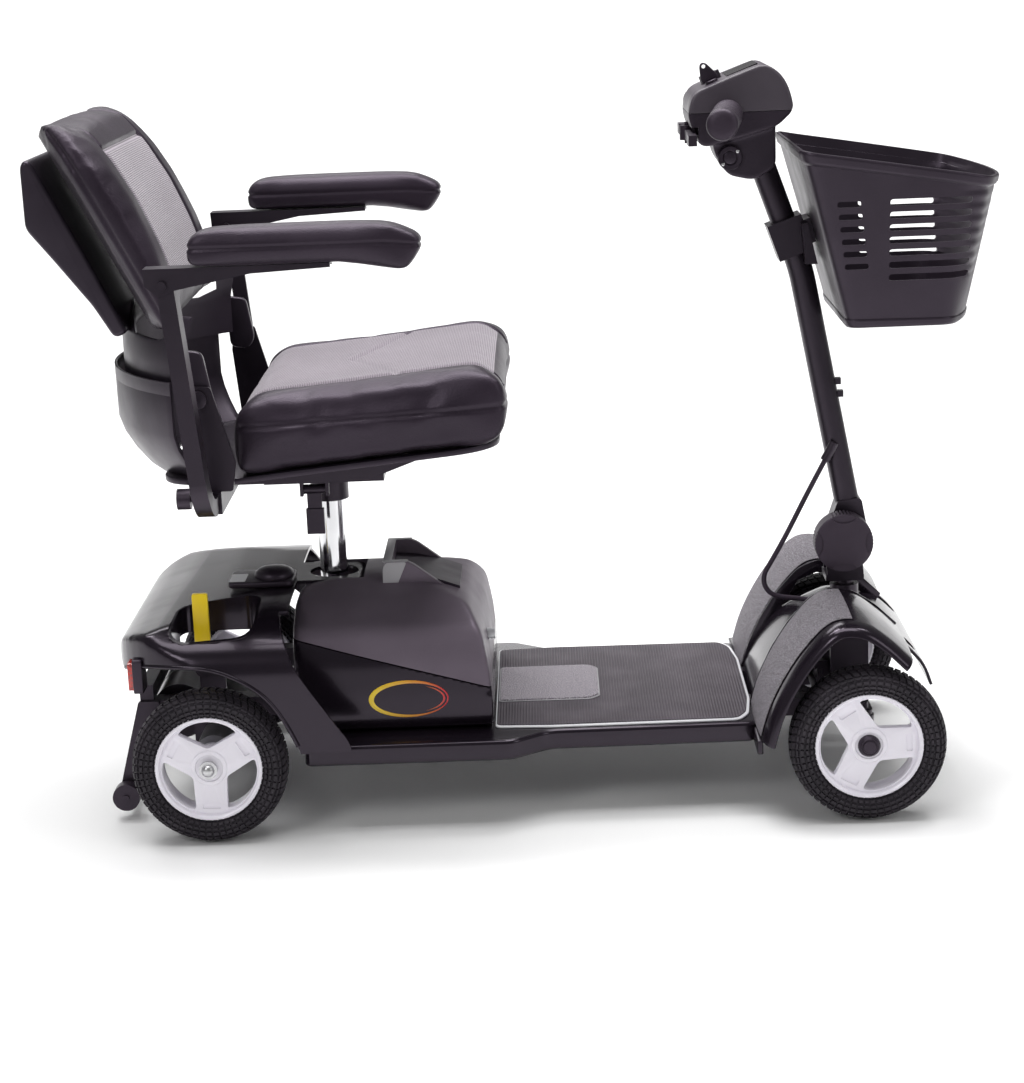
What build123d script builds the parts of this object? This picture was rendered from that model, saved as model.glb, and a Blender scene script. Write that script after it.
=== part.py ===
from build123d import *
import os
from math import cos, radians, sin, tan

# Four-wheeled mobility scooter, in millimetres. +X is forwards, +Y is the rider's left, +Z is up.
# The origin is on the ground, midway between the axles and midway across.

# Wheels and stance
wheel_dia = 190.0
tyre_width = 48.0
tyre_shoulder = 12.0
rim_dia = 131.6
rim_width = 42.0
rim_wall = 6.0
spoke_count = 3
spoke_plate = 12.0
hub_dia = 40.0
wheelbase = 795.0
track = 430.0
axle_dia = 15.0

# Clearances
running_gap = 0.05
slide_gap = 0.2
seat_gap = 0.3
wall = 3.5

# Steering
kingpin_inset = 43.0
kingpin_dia = 14.0
steer_arm = 45.0
tie_rod_dia = 9.0
column_dia = 25.0
headset_dia = 46.0
head_block_top = 196.0
cable_dia = 6.5
cable_points = [
    (372, -18, 400),
    (350, -19, 360),
    (322, -20, 305),
    (303, -20, 272),
    (292.7, -20, 255),
    (294.2, -20, 238),
    (306.2, -20, 226),
    (338, -19, 222),
    (376, -18, 215),
]

# Tiller
tilt_x = 392.0
tilt_z = 300.0
tilt_stud_dia = 10.0
knob_dia = 75.0
knob_width = 30.0
tiller_dia = 31.0
tiller_foot_x = 406.0
tiller_foot_z = 318.0
tiller_bend_x = 346.0
tiller_bend_z = 642.0
tiller_top_x = 300.0
tiller_top_z = 772.0
tiller_bend_radius = 250.0
bar_dia = 22.0
bar_x = 262.0
bar_z = 837.0
bar_half = 218.0
bar_sweep = 26.0
grip_dia = 37.0
grip_root = 72.0
head_half = 64.0
neck_half = 40.0
panel_rear = (214.0, 864.0)
panel_front = (300.0, 896.0)
head_line = [(206, 839), panel_rear, panel_front, (328, 868), (335, 840), (313, 820), (224, 798), (224, 826)]
neck_line = [(240, 786), (256, 762), (288, 755), (314, 771), (314, 830), (232, 830)]
dial_at = (-18, 0)
key_at = (-20, -36)
horn_at = (-20, 36)
lever_pivot = 209.0
lug_low = 804.0
lug_high = 822.0

# Basket
basket_rear = 331.0
basket_front = 594.0
basket_half = 160.0
basket_floor_z = 583.0
basket_floor_rear = 388.0
basket_floor_front = 546.0
basket_floor_half = 124.0
basket_wall = 3.0
basket_bow = 32.0
rim_rear_z = 798.0
rim_fall = 0.165

# Deck
deck_z = 110.0
deck_bottom = 84.0
deck_rear = -285.0
deck_front = 268.0
deck_half = 173.5
deck_rear_half = 212.0
mat_thickness = 4.0
pad_thickness = 3.0

# Fenders over the front wheels
fender_inner = 62.0
fender_outer = 240.0
nose_half = 118.0
fender_line = [(deck_front, 101), (279, 138), (318, 208), (346, 241), (370, 249), (400, 244), (454, 200)]
nose_line = [(deck_front, 101), (280, 132), (312, 180), (345, 202), (440, 202), (478, 168), (492, 135)]

# Battery box
battery_rear = -297.0
battery_front = -53.0
battery_half = 166.0
battery_top = 281.0
grip_top = 302.0
notch_half = 47.0
notch_front = -213.0
battery_side = [
    (battery_rear, deck_z),
    (battery_rear, 262),
    (-285, 272),
    (-234, battery_top),
    (-195, battery_top),
    (-119, 270),
    (-82, 257),
    (-64, 229),
    (-57, 189),
    (battery_front, 150),
    (battery_front, deck_z),
]
battery_end = [
    (-battery_half, 110),
    (-battery_half, 150),
    (-battery_half + 5, 205),
    (-battery_half + 16, 235),
    (-100, 262),
    (-40, 281),
    (40, 281),
    (100, 262),
    (battery_half - 16, 235),
    (battery_half - 5, 205),
    (battery_half, 150),
    (battery_half, 110),
]

# Rear cover
cover_rear = -514.0
cover_top = 276.0
cover_half = 240.0
cover_corner = 130.0
arch_radius = 118.0
cover_line = [
    (-478, 112),
    (-500, 190),
    (cover_rear, 214),
    (-508, 238),
    (-486, 251),
    (-452, 263),
    (-392, cover_top),
    (-318, cover_top),
    (-300, 250),
    (-270, 190),
    (-226, deck_z),
]

# Seat
post_x = -254.0
post_dia = 35.0
post_top = 404.0
tower_dia = 48.0
tower_top = 262.0
seat_half = 213.0
seat_front = -12.0
seat_rear = -355.0
base_z = 436.0
base_rise = 0.095
base_board = 7.0
cushion_height = 92.0
bucket_x = -223.0
bucket_radius = 287.0
bucket_top = 565.0
lever_hang_z = 397.0
hinge_x = -379.0
hinge_z = 546.0
hinge_half = 230.5
back_half = 213.0
back_radius = 547.0
back_foot = Vector(-462, 0, 621)
back_head = Vector(-575, 0, 845)
back_line = [
    (-430, 610),
    (-408, 618),
    (-410, 664),
    (-426, 718),
    (-449, 772),
    (-477, 820),
    (-516, 868),
    (-545, 873),
    (-572, 866),
    (-584, 846),
    (-545, 780),
    (-506, 700),
    (-462, 612),
]
arm_x = -372.0
arm_z = 423.0
arm_half = 290.0
arm_bar = 20.0
arm_wall = 3.0
cheek_gap = 1.2
arm_pivot_x = -399.0
arm_pivot_z = 690.0
pad_half_spacing = 295.0
pad_half_width = 27.0

# Rear drive
rail_y = 105.0
rail_size = 25.0
rail_z = 122.0
housing_dia = 48.0
motor_dia = 71.0
motor_x = -452.0
motor_z = 120.0
anti_tip_x = -518.0
anti_tip_dia = 34.0
lever_x = -403.0
lever_z = 204.0

wheel_y = track / 2
rear_x = -wheelbase / 2
front_x = wheelbase / 2
axle_z = wheel_dia / 2
kingpin_y = wheel_y - kingpin_inset
pin_x = front_x - steer_arm
panel = Plane(
    origin=((panel_rear[0] + panel_front[0]) / 2, 0, (panel_rear[1] + panel_front[1]) / 2),
    x_dir=(panel_front[0] - panel_rear[0], 0, panel_front[1] - panel_rear[1]),
    z_dir=(panel_rear[1] - panel_front[1], 0, panel_front[0] - panel_rear[0]),
)
nodes = {}


def box(x0, x1, y0, y1, z0, z1):
    """Block between two corners."""
    return Pos((x0 + x1) / 2, (y0 + y1) / 2, (z0 + z1) / 2) * Box(x1 - x0, y1 - y0, z1 - z0)


def mirrored_box(x0, x1, y0, y1, z0, z1):
    """The same block on both sides."""
    return box(x0, x1, y0, y1, z0, z1) + box(x0, x1, -y1, -y0, z0, z1)


def rod(start, end, dia):
    """Round bar from one point to another."""
    start, end = Vector(*start), Vector(*end)
    run = end - start
    return Plane(origin=start, z_dir=run) * Pos(0, 0, run.length / 2) * Cylinder(dia / 2, run.length)


def across(x, z, y0, y1, dia):
    """Round bar along Y."""
    return rod((x, y0, z), (x, y1, z), dia)


def across_x(x0, x1, y, z, dia):
    """Round bar along X."""
    return rod((x0, y, z), (x1, y, z), dia)


def upright(x, y, z0, z1, dia):
    """Round bar along Z."""
    return rod((x, y, z0), (x, y, z1), dia)


def outline(points, radius=0):
    """Face inside a closed outline with rounded corners."""
    if radius:
        return make_face(FilletPolyline(*points, radius=radius, close=True))
    return make_face(Polyline(*points, close=True))


def side_face(points, y, radius=0):
    """Side view outline (X, Z) as a face at one y."""
    return outline([(x, y, z) for x, z in points], radius)


def side_solid(points, y0, y1, radius=0):
    """Side view outline (X, Z) carried from y0 to y1."""
    return extrude(side_face(points, y0, radius), amount=y1 - y0, dir=(0, 1, 0))


def plan_solid(points, z0, z1, radius=0):
    """Plan outline (X, Y) carried from z0 to z1."""
    return extrude(outline([(x, y, z0) for x, y in points], radius), amount=z1 - z0, dir=(0, 0, 1))


def inset_side(points, y0, y1, inset, radius=0):
    """Side outline drawn in by a wall's thickness, carried across."""
    face = offset(side_face(points, y0, radius), amount=-inset)
    return extrude(face, amount=y1 - y0, dir=(0, 1, 0))


def swept(points, radius, section):
    """Section carried along runs joined by arcs."""
    path = FilletPolyline(*points, radius=radius)
    return sweep(Plane(origin=path @ 0, z_dir=path % 0) * section, path=path)


def both_sides(solid):
    return solid + mirror(solid, about=Plane.XZ)


def keep(name, solid):
    nodes[name] = solid


# ---------------------------------------------------------------- wheels


def make_tyre(x, y):
    half = tyre_width / 2
    inner = rim_dia / 2 + running_gap
    outer = wheel_dia / 2
    section = [
        (x + inner, y - half + 4, axle_z),
        (x + inner + 8, y - half, axle_z),
        (x + outer - tyre_shoulder, y - half, axle_z),
        (x + outer, y - half + tyre_shoulder, axle_z),
        (x + outer, y + half - tyre_shoulder, axle_z),
        (x + outer - tyre_shoulder, y + half, axle_z),
        (x + inner + 8, y + half, axle_z),
        (x + inner, y + half - 4, axle_z),
    ]
    return revolve(outline(section, 3), axis=Axis((x, 0, axle_z), (0, 1, 0)), revolution_arc=360)


def make_rim(x, y, bore, turn=0):
    """Barrel, three broad spokes and a hub, outer face away from the scooter."""
    out = 1 if y > 0 else -1
    outer = rim_dia / 2
    barrel = across(x, axle_z, y - rim_width / 2, y + rim_width / 2, rim_dia)
    barrel -= across(x, axle_z, y - rim_width, y + rim_width, rim_dia - 2 * rim_wall)
    face = y + out * (rim_width / 2 - 4)
    plate = across(x, axle_z, *sorted((face, face - out * spoke_plate)), rim_dia - rim_wall)
    reach = outer - rim_wall - 4
    for i in range(spoke_count):
        mid = 360 / spoke_count * i + 90 + turn
        corners = []
        for spread, radius in ((0, hub_dia / 2 + 6), (44, reach), (0, reach + 12), (-44, reach)):
            angle = radians(mid + spread)
            corners.append((x + radius * cos(angle), axle_z + radius * sin(angle)))
        window = side_solid(corners, face - spoke_plate - 1, face + spoke_plate + 1, 4)
        plate -= window & across(x, axle_z, face - 20, face + 20, 2 * reach)
    hub = across(x, axle_z, y - rim_width / 2, y + rim_width / 2, hub_dia)
    return barrel + plate + hub - across(x, axle_z, y - rim_width, y + rim_width, bore)


def make_wheels():
    for end, x, turn in (("rear", rear_x, 0), ("front", front_x, 25)):
        for hand, y in (("right", -wheel_y), ("left", wheel_y)):
            keep(f"{end}_tyre_{hand}", make_tyre(x, y))
            keep(f"{end}_rim_{hand}", make_rim(x, y, axle_dia + 2 * running_gap, turn))


# ---------------------------------------------------------------- rear drive


def make_half_shafts():
    end = wheel_y + rim_width / 2
    for hand, out in (("right", -1), ("left", 1)):
        shaft = rod((rear_x, out * 5, axle_z), (rear_x, out * (end + 3), axle_z), axle_dia)
        nut = rod((rear_x, out * end, axle_z), (rear_x, out * (end + 5), axle_z), 22)
        keep(f"half_shaft_{hand}", shaft + nut)


def make_transaxle():
    reach = wheel_y - tyre_width / 2 - 12
    case = across(rear_x, axle_z, -reach, reach, housing_dia)
    case += across(rear_x, axle_z, -12, 48, 100)
    case += across(motor_x, motor_z, -12, 48, motor_dia + 2)
    case -= across(rear_x, axle_z, -wheel_y, wheel_y, axle_dia + 2 * running_gap)
    keep("transaxle_housing", case)
    motor = across(motor_x, motor_z, -80, -12, motor_dia)
    motor += across(motor_x, motor_z, -89, -80, 50)
    keep("drive_motor", motor)


def make_rear_frame():
    """Rails, cross members, post tower, anti-tip arms and the freewheel lever's plate."""
    inner = rail_y - rail_size / 2
    outer = rail_y + rail_size / 2
    top = rail_z + rail_size
    frame = mirrored_box(-495, -228, inner, outer, rail_z, top)
    frame += box(-495, -478, -outer, outer, top, top + 20)
    frame += box(post_x - 26, post_x + 26, -outer, outer, rail_z, top)
    frame += mirrored_box(rear_x - 32, rear_x + 32, inner, outer, axle_z - 30, rail_z)
    frame -= across(rear_x, axle_z, -outer - 1, outer + 1, housing_dia + 2 * running_gap)
    frame += upright(post_x, 0, deck_z + 2, tower_top, tower_dia)
    frame += upright(post_x, 0, tower_top, tower_top + 4, tower_dia - 1)
    frame -= upright(post_x, 0, 90, tower_top + 5, post_dia + 2 * running_gap)
    arm_line = [(-497, top), (-470, top), (anti_tip_x + 14, 22), (anti_tip_x, 16), (anti_tip_x - 12, 26)]
    arm = side_solid(arm_line, outer, outer + 5, 3)
    arm -= across(anti_tip_x, 28, outer - 1, outer + 6, 8 + 2 * running_gap)
    frame += both_sides(arm)
    lever_plate = box(rear_x - 20, rear_x + 12, -outer - 5, -outer, rail_z, 216)
    lever_pin = across(lever_x, lever_z, -178.5, -outer - 4, 10)
    keep("rear_frame", frame + lever_plate + lever_pin)


def make_freewheel_lever():
    lever = across(lever_x, lever_z, -178, -160, 22)
    lever += side_solid([(-411, 205), (-395, 205), (-396, 298), (-411, 298)], -177, -163, 3)
    keep("freewheel_lever", lever - across(lever_x, lever_z, -180, -150, 10 + 2 * running_gap))


def make_anti_tip_wheels():
    outer = rail_y + rail_size / 2
    wheels = across(anti_tip_x, 28, -(outer + 26), outer + 26, 8)
    for out in (-1, 1):
        wheels += rod((anti_tip_x, out * (outer + 6), 28), (anti_tip_x, out * (outer + 24), 28), anti_tip_dia)
    keep("anti_tip_wheels", wheels)


# ---------------------------------------------------------------- deck, frame and front end


def make_front_frame():
    rails = mirrored_box(-292, front_x + 12, 50, 75, deck_bottom, deck_z - wall)
    beam = box(front_x - 12, front_x + 12, -kingpin_y + 20, kingpin_y - 20, deck_bottom, deck_z - wall)
    frame = rails + beam
    yoke = box(front_x - 12, front_x + 12, kingpin_y - 28, kingpin_y, 58, 64)
    yoke += upright(front_x, kingpin_y, 58, 64, 24)
    yoke += box(front_x - 12, front_x + 12, kingpin_y - 28, kingpin_y, 116, 122)
    yoke += upright(front_x, kingpin_y, 116, 122, 24)
    yoke += box(front_x - 12, front_x + 12, kingpin_y - 28, kingpin_y - 20, 58, 122)
    yoke -= upright(front_x, kingpin_y, 50, 130, kingpin_dia + 2 * running_gap)
    frame += both_sides(yoke)
    plates = mirrored_box(front_x - 24, front_x + 24, 44, 50, deck_bottom, head_block_top)
    block = box(front_x - 22, front_x + 22, -44, 44, 160, head_block_top)
    frame += plates + block - upright(front_x, 0, 150, 200, column_dia + 2 * running_gap)
    docks = mirrored_box(post_x - 20, post_x + 20, 50, 75, deck_z - wall, rail_z)
    keep("front_frame", frame + docks)
    rings = upright(front_x, 0, head_block_top, head_block_top + 8, headset_dia)
    rings += upright(front_x, 0, head_block_top + 8, head_block_top + 14, headset_dia - 6)
    keep("headset_rings", rings - upright(front_x, 0, 190, 220, column_dia + 2 * running_gap))


def deck_plan(inset=0):
    """Wide at the back under the battery, narrower under the rider's feet."""
    half, rear_half = deck_half - inset, deck_rear_half - inset
    right = [(deck_rear + inset, -rear_half), (-30, -rear_half), (15, -half - 4), (deck_front - inset, -half)]
    return right + [(x, -y) for x, y in reversed(right)]


def band(line, y0, y1, thickness):
    """Sheet of even thickness that follows a side line, laid on its inner side."""
    under = []
    for i, (x, z) in enumerate(line):
        before, after = line[max(i - 1, 0)], line[min(i + 1, len(line) - 1)]
        along = Vector(after[0] - before[0], after[1] - before[1]).normalized()
        under.append((x + thickness * along.Y, z - thickness * along.X))
    return side_solid(line + under[::-1], y0, y1)


def make_floor_pan():
    pan = plan_solid(deck_plan(), deck_bottom, deck_z, 6)
    pan -= plan_solid(deck_plan(wall), deck_bottom - 1, deck_z - wall, 4)
    pan -= box(post_x - 26, post_x + 26, -80, 80, deck_bottom, deck_z + 1)
    fender = band(fender_line, fender_inner, fender_outer, 4)
    side = side_solid(fender_line + [(454, 190), (345, 190), (300, 150)], fender_inner - 2, fender_inner + 2)
    pan += both_sides(fender + side)
    pan += band(nose_line, -fender_inner, fender_inner, 4)
    nose = band(nose_line[3:], fender_inner, nose_half, 4)
    pan += both_sides(nose)
    pan += box(deck_front - wall, deck_front + 4, -fender_outer, fender_outer, deck_bottom, 102)
    pan -= upright(front_x, 0, 180, 220, headset_dia + 4)
    pan -= mirrored_box(-300, front_x + 30, 49.6, 75.4, 70, deck_z - wall)
    keep("floor_pan", pan)


def make_mat():
    points = [(-50, -160), (20, -165), (246, -162), (258, -140), (264, -84)]
    mat = plan_solid(points + [(x, -y) for x, y in reversed(points)], deck_z, deck_z + mat_thickness, 6)
    keep("deck_mat", mat)
    pad = plan_solid(
        [(-47, -70), (66, -70), (78, -58), (78, 58), (66, 70), (-47, 70)],
        deck_z + mat_thickness,
        deck_z + mat_thickness + pad_thickness,
        5,
    )
    keep("deck_center_pad", pad)


def make_knuckles():
    for hand, out in (("right", -1), ("left", 1)):
        y = out * kingpin_y
        knuckle = upright(front_x, y, 64 + seat_gap, 116 - seat_gap, 28)
        knuckle += upright(front_x, y, 54, 132, kingpin_dia)
        stub_end = out * (wheel_y + rim_width / 2 + 2)
        knuckle += rod((front_x, y, axle_z), (front_x, stub_end, axle_z), axle_dia)
        arm = box(pin_x, front_x, y - 7, y + 7, 124, 132) + upright(pin_x, y, 124, 132, 18)
        knuckle += arm + upright(pin_x, y, 108, 124, 8)
        keep(f"knuckle_{hand}", knuckle)


def make_tie_rod():
    z = 117.0
    bar = across(pin_x, z, -kingpin_y, kingpin_y, tie_rod_dia)
    for y in (-kingpin_y, 0, kingpin_y):
        bar += upright(pin_x, y, 112, 123, 20)
    for y, gap in ((-kingpin_y, seat_gap), (0, running_gap), (kingpin_y, seat_gap)):
        bar -= upright(pin_x, y, 100, 130, 8 + 2 * gap)
    keep("tie_rod", bar)


# ---------------------------------------------------------------- steering column and tiller

def cable_end(index):
    """Point and direction of the cable's first or last run."""
    order = cable_points if index == 0 else cable_points[::-1]
    first, second = Vector(*order[0]), Vector(*order[1])
    return first, (first - second).normalized()


def make_steering_column():
    column = upright(front_x, 0, 124, 252, column_dia)
    column += upright(front_x, 0, 124, 134, 32)
    column += box(pin_x, front_x, -7, 7, 124, 134) + upright(pin_x, 0, 124, 134, 18)
    column += upright(pin_x, 0, 108, 124, 8)
    column += upright(front_x, 0, head_block_top + 14 + seat_gap, 236, 36)
    lug = box(370, front_x - 6, -27, -9, head_block_top + 14 + seat_gap, 223)
    end, along = cable_end(-1)
    column += lug - rod(end - along * 20, end + along * 2, cable_dia + 2 * running_gap)
    column += box(372, 420, -23, 23, 244, 252)
    cheek = side_solid([(374, 250), (420, 250), (416, 300), (404, 320), (380, 320), (370, 300)], 17, 23, 4)
    column += both_sides(cheek) - across(tilt_x, tilt_z, -30, -16, tilt_stud_dia + 2 * running_gap)
    column += across(tilt_x, tilt_z, -16.7, 25, tilt_stud_dia) + across(tilt_x, tilt_z, 23, 33, 24)
    keep("steering_column", column)


def make_cable():
    points = [Vector(*p) for p in cable_points]
    radii = []
    for a, b, c in zip(points, points[1:], points[2:]):
        turn = (b - a).get_angle(c - b)
        radii.append(0.45 * min((b - a).length, (c - b).length) / tan(radians(turn / 2)))
    path = FilletPolyline(*points, radius=radii)
    tube = sweep(Plane(origin=path @ 0, z_dir=path % 0) * Circle(cable_dia / 2), path=path)
    keep("tiller_cable", tube)


def make_tiller():
    foot_end = (tiller_foot_x, 0, tiller_foot_z)
    tube = swept(
        [foot_end, (tiller_bend_x, 0, tiller_bend_z), (tiller_top_x, 0, tiller_top_z)],
        tiller_bend_radius,
        Circle(tiller_dia / 2),
    )
    foot_line = [(372, 300), (382, 282), (400, 280), (424, 318), (418, 350), (388, 346)]
    foot = side_solid(foot_line, -16.5, 16.5, 6)
    tube += foot + rod((tiller_top_x, 0, tiller_top_z), (bar_x + 3, 0, bar_z - 6), tiller_dia)
    bar = [(bar_x - bar_sweep, -bar_half, bar_z), (bar_x, 0, bar_z), (bar_x - bar_sweep, bar_half, bar_z)]
    tube += swept(bar, 60, Circle(bar_dia / 2))
    end, along = cable_end(0)
    tube += rod(end + along * seat_gap, end + along * 26, 12)
    lean = (tiller_foot_x - tiller_bend_x) / (tiller_bend_z - tiller_foot_z)
    for z in (482, 498):
        x = tiller_foot_x - (z - tiller_foot_z) * lean
        tube += box(x + 8, x + 22, -5, 5, z - 4, z + 4)
    tube -= across(tilt_x, tilt_z, -30, 30, tilt_stud_dia + 2 * running_gap)
    keep("tiller_tube", tube)


def make_tilt_knob():
    knob = across(tilt_x, tilt_z, -23 - seat_gap - knob_width, -23 - seat_gap, knob_dia)
    for i in range(4):
        angle = radians(90 * i + 45)
        x = tilt_x + (knob_dia / 2 + 9) * cos(angle)
        z = tilt_z + (knob_dia / 2 + 9) * sin(angle)
        knob -= across(x, z, -60, -22, 30)
    knob += across(tilt_x, tilt_z, -30, -17, tilt_stud_dia)
    keep("tilt_knob", knob)


def make_grips():
    grips = None
    for out in (-1, 1):
        slope = bar_sweep / bar_half
        start = (bar_x - slope * grip_root, out * grip_root, bar_z)
        end = (bar_x - slope * (bar_half + 6), out * (bar_half + 6), bar_z)
        grip = rod(start, end, grip_dia)
        stop = (bar_x - slope * (bar_half + 2), out * (bar_half + 2), bar_z)
        grip -= rod((start[0] + slope, start[1] - out, start[2]), stop, bar_dia + 2 * running_gap)
        grips = grip if grips is None else grips + grip
    keep("hand_grips", grips)


def on_panel(u, v, w0, w1, dia):
    return panel * Pos(u, v, (w0 + w1) / 2) * Cylinder(dia / 2, w1 - w0)


def make_head():
    outer = side_solid(head_line, -head_half, head_half, 5)
    inner = inset_side(head_line, -head_half + 3, head_half - 3, 3)
    neck = side_solid(neck_line, -neck_half, neck_half, 5)
    neck_inner = inset_side(neck_line, -neck_half + 3, neck_half - 3, 3)
    shell = outer + neck - inner - neck_inner
    shell -= inner & box(200, 340, -neck_half + 3, neck_half - 3, 780, 840)
    shell -= box(236, 310, -neck_half + 3, neck_half - 3, 800, 832)
    shell -= bar_room()
    split = 839.5
    lower = shell & box(180, 360, -90, 90, 700, split)
    upper = shell & box(180, 360, -90, 90, split, 950)
    low, high = lug_low, lug_high
    lugs = box(200, 226, -11, 11, low - 4, low) + box(200, 226, -11, 11, high, high + 4)
    lower += lugs - upright(lever_pivot, 0, low - 9, high + 9, 6 + 2 * running_gap)
    holes = ((dial_at, 6 + 2 * running_gap), (key_at, 8 + 2 * running_gap), (horn_at, 14 + 2 * seat_gap))
    for (u, v), dia in holes:
        upper -= on_panel(u, v, -12, 12, dia)
    keep("head_lower_shell", lower)
    keep("head_upper_shell", upper)
    keep("gauge_panel", panel * Pos(19, 0, 0.75) * Box(40, 72, 1.5))
    keep("speed_dial", on_panel(*dial_at, seat_gap, 10, 26) + on_panel(*dial_at, -8, seat_gap, 6))
    key = on_panel(*key_at, -8, 4, 8) + on_panel(*key_at, seat_gap, 4, 16)
    key += panel * Pos(key_at[0], key_at[1], 15) * Box(20, 4, 22)
    keep("ignition_key", key)
    keep("horn_button", on_panel(*horn_at, -6, 3.5, 14))
    socket = across(258, 784, -neck_half - 6, -neck_half, 30)
    keep("charger_socket", socket - across(258, 784, -neck_half - 7, -neck_half - 2, 16))
    lever = upright(lever_pivot, 0, low + seat_gap, high - seat_gap, 18)
    lever += box(lever_pivot - 3, lever_pivot + 3, -112, 112, low + 2, high - 5)
    lever += mirrored_box(lever_pivot - 5, lever_pivot + 5, 78, 112, low + 1, high - 4.5)
    lever += upright(lever_pivot, 0, low - 4, high + 4, 6)
    keep("throttle_lever", lever)


def bar_room():
    """Room for the handlebar and the tube inside the head."""
    bar = [(bar_x - bar_sweep, -bar_half, bar_z), (bar_x, 0, bar_z), (bar_x - bar_sweep, bar_half, bar_z)]
    room = swept(bar, 60, Circle(bar_dia / 2 + 1))
    room += rod((tiller_top_x, 0, tiller_top_z), (bar_x + 3, 0, bar_z - 6), tiller_dia + 2)
    room += rod((tiller_bend_x, 0, tiller_bend_z), (tiller_top_x, 0, tiller_top_z), tiller_dia + 2)
    room += Pos(tiller_top_x, 0, tiller_top_z) * Sphere(tiller_dia / 2 + 1)
    return room


# ---------------------------------------------------------------- basket


def basket_face(z, rear, front, half, bow):
    """Plan of the basket at one height, with a bowed front."""
    corner = front - bow
    edges = [
        Line((rear, -half, z), (corner, -half, z)),
        ThreePointArc((corner, -half, z), (front, 0, z), (corner, half, z)),
        Line((corner, half, z), (rear, half, z)),
        Line((rear, half, z), (rear, -half, z)),
    ]
    return make_face(edges)


def basket_body(inset):
    floor = basket_face(
        basket_floor_z + inset,
        basket_floor_rear + inset,
        basket_floor_front - inset,
        basket_floor_half - inset,
        basket_bow,
    )
    rear, front = basket_rear + inset, basket_front - inset
    top = basket_face(rim_rear_z + 4, rear, front, basket_half - inset, basket_bow)
    return loft([floor, top])


def above_rim(drop=0):
    """Everything above the sloping rim."""
    far = 700
    level = rim_rear_z - drop
    fall = rim_fall * (far - basket_rear)
    return side_solid([(200, level + 21.6), (far, level - fall), (far, 950), (200, 950)], -300, 300)


def make_basket():
    outer = basket_body(0)
    basket = outer - basket_body(basket_wall)
    for i in range(7):
        z = 640 + 15 * i
        basket -= box(436, 536, -200, 200, z, z + 8)
    for i in range(6):
        z = 655 + 15 * i
        basket -= box(384 - 2 * i, 412 - 2 * i, -200, 200, z, z + 7)
    basket -= above_rim()
    keep("basket", basket)


def make_basket_bracket():
    run = Vector(tiller_top_x - tiller_bend_x, 0, tiller_top_z - tiller_bend_z).normalized()
    middle = Vector(tiller_bend_x, 0, tiller_bend_z) + run * 42
    frame = Plane(origin=middle, z_dir=run, x_dir=(run.Z, 0, -run.X))
    sleeve = frame * Box(44, 44, 46)
    arm = frame * Pos(27, 0, 0) * Box(14, 50, 30)
    bore = frame * Cylinder(tiller_dia / 2 + running_gap, 90)
    bracket = sleeve + arm - bore
    bracket += side_solid([(352, 700), (366, 640), (385, 585), (350, 640), (344, 700)], -34, 34)
    bracket -= box(300, 420, -60, 60, 560, 650)
    keep("basket_bracket", bracket - basket_body(-seat_gap) - bore)


# ---------------------------------------------------------------- battery box

def battery_block(inset):
    """The box's side outline crossed with its end outline."""
    side = offset(side_face(battery_side, -200), amount=-inset)
    end = offset(outline([(-320, y, z) for y, z in battery_end]), amount=-inset)
    return extrude(side, amount=400, dir=(0, 1, 0)) & extrude(end, amount=300, dir=(1, 0, 0))


def notch(grow):
    """Room for the seat post's tower, and for the frame's cross member below."""
    slot = box(-330, notch_front + grow, -notch_half - grow, notch_half + grow, 90, 320)
    step_half = rail_y + rail_size / 2 + 2 + grow
    return slot + box(-330, post_x + 28 + grow, -step_half, step_half, 90, rail_z + rail_size + 2 + grow)


def make_battery():
    outer = battery_block(0)
    shell = outer - notch(0) - (battery_block(wall) - notch(wall))
    seam = side_solid([(-320, 236), (-30, 156), (-30, 400), (-320, 400)], -200, 200)
    keep("battery_lower_case", shell - seam)
    lid = shell & seam
    lid -= across_x(-80, -40, -60, 202, 15)
    keep("battery_lid", lid)
    keep("breaker_button", across_x(-66, -50, -60, 202, 14))
    cells = box(-200, -76, 8, 84, deck_z + wall, 205) + box(-200, -76, -84, -8, deck_z + wall, 205)
    keep("battery_cells", cells)
    handle = box(-186, -147, -62, 62, grip_top - 9, grip_top)
    leg = side_solid([(-186, 240), (-186, grip_top - 9), (-147, grip_top - 9), (-104, 240)], 50, 62)
    keep("battery_grip", handle + both_sides(leg) - outer)


# ---------------------------------------------------------------- rear cover

def cover_block(inset):
    side = side_solid(cover_line, -260, 260) if not inset else inset_side(cover_line, -260, 260, inset)
    rear, half = cover_rear + inset, cover_half - inset
    corner = cover_corner - inset
    plan = extrude(
        make_face(
            [
                Line((-200, -half, 100), (rear + corner, -half, 100)),
                ThreePointArc(
                    (rear + corner, -half, 100),
                    (rear + corner * (1 - 0.70710678), -half + corner * (1 - 0.70710678), 100),
                    (rear, -half + corner, 100),
                ),
                Line((rear, -half + corner, 100), (rear, half - corner, 100)),
                ThreePointArc(
                    (rear, half - corner, 100),
                    (rear + corner * (1 - 0.70710678), half - corner * (1 - 0.70710678), 100),
                    (rear + corner, half, 100),
                ),
                Line((rear + corner, half, 100), (-200, half, 100)),
                Line((-200, half, 100), (-200, -half, 100)),
            ]
        ),
        amount=200,
        dir=(0, 0, 1),
    )
    return side & plan


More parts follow.
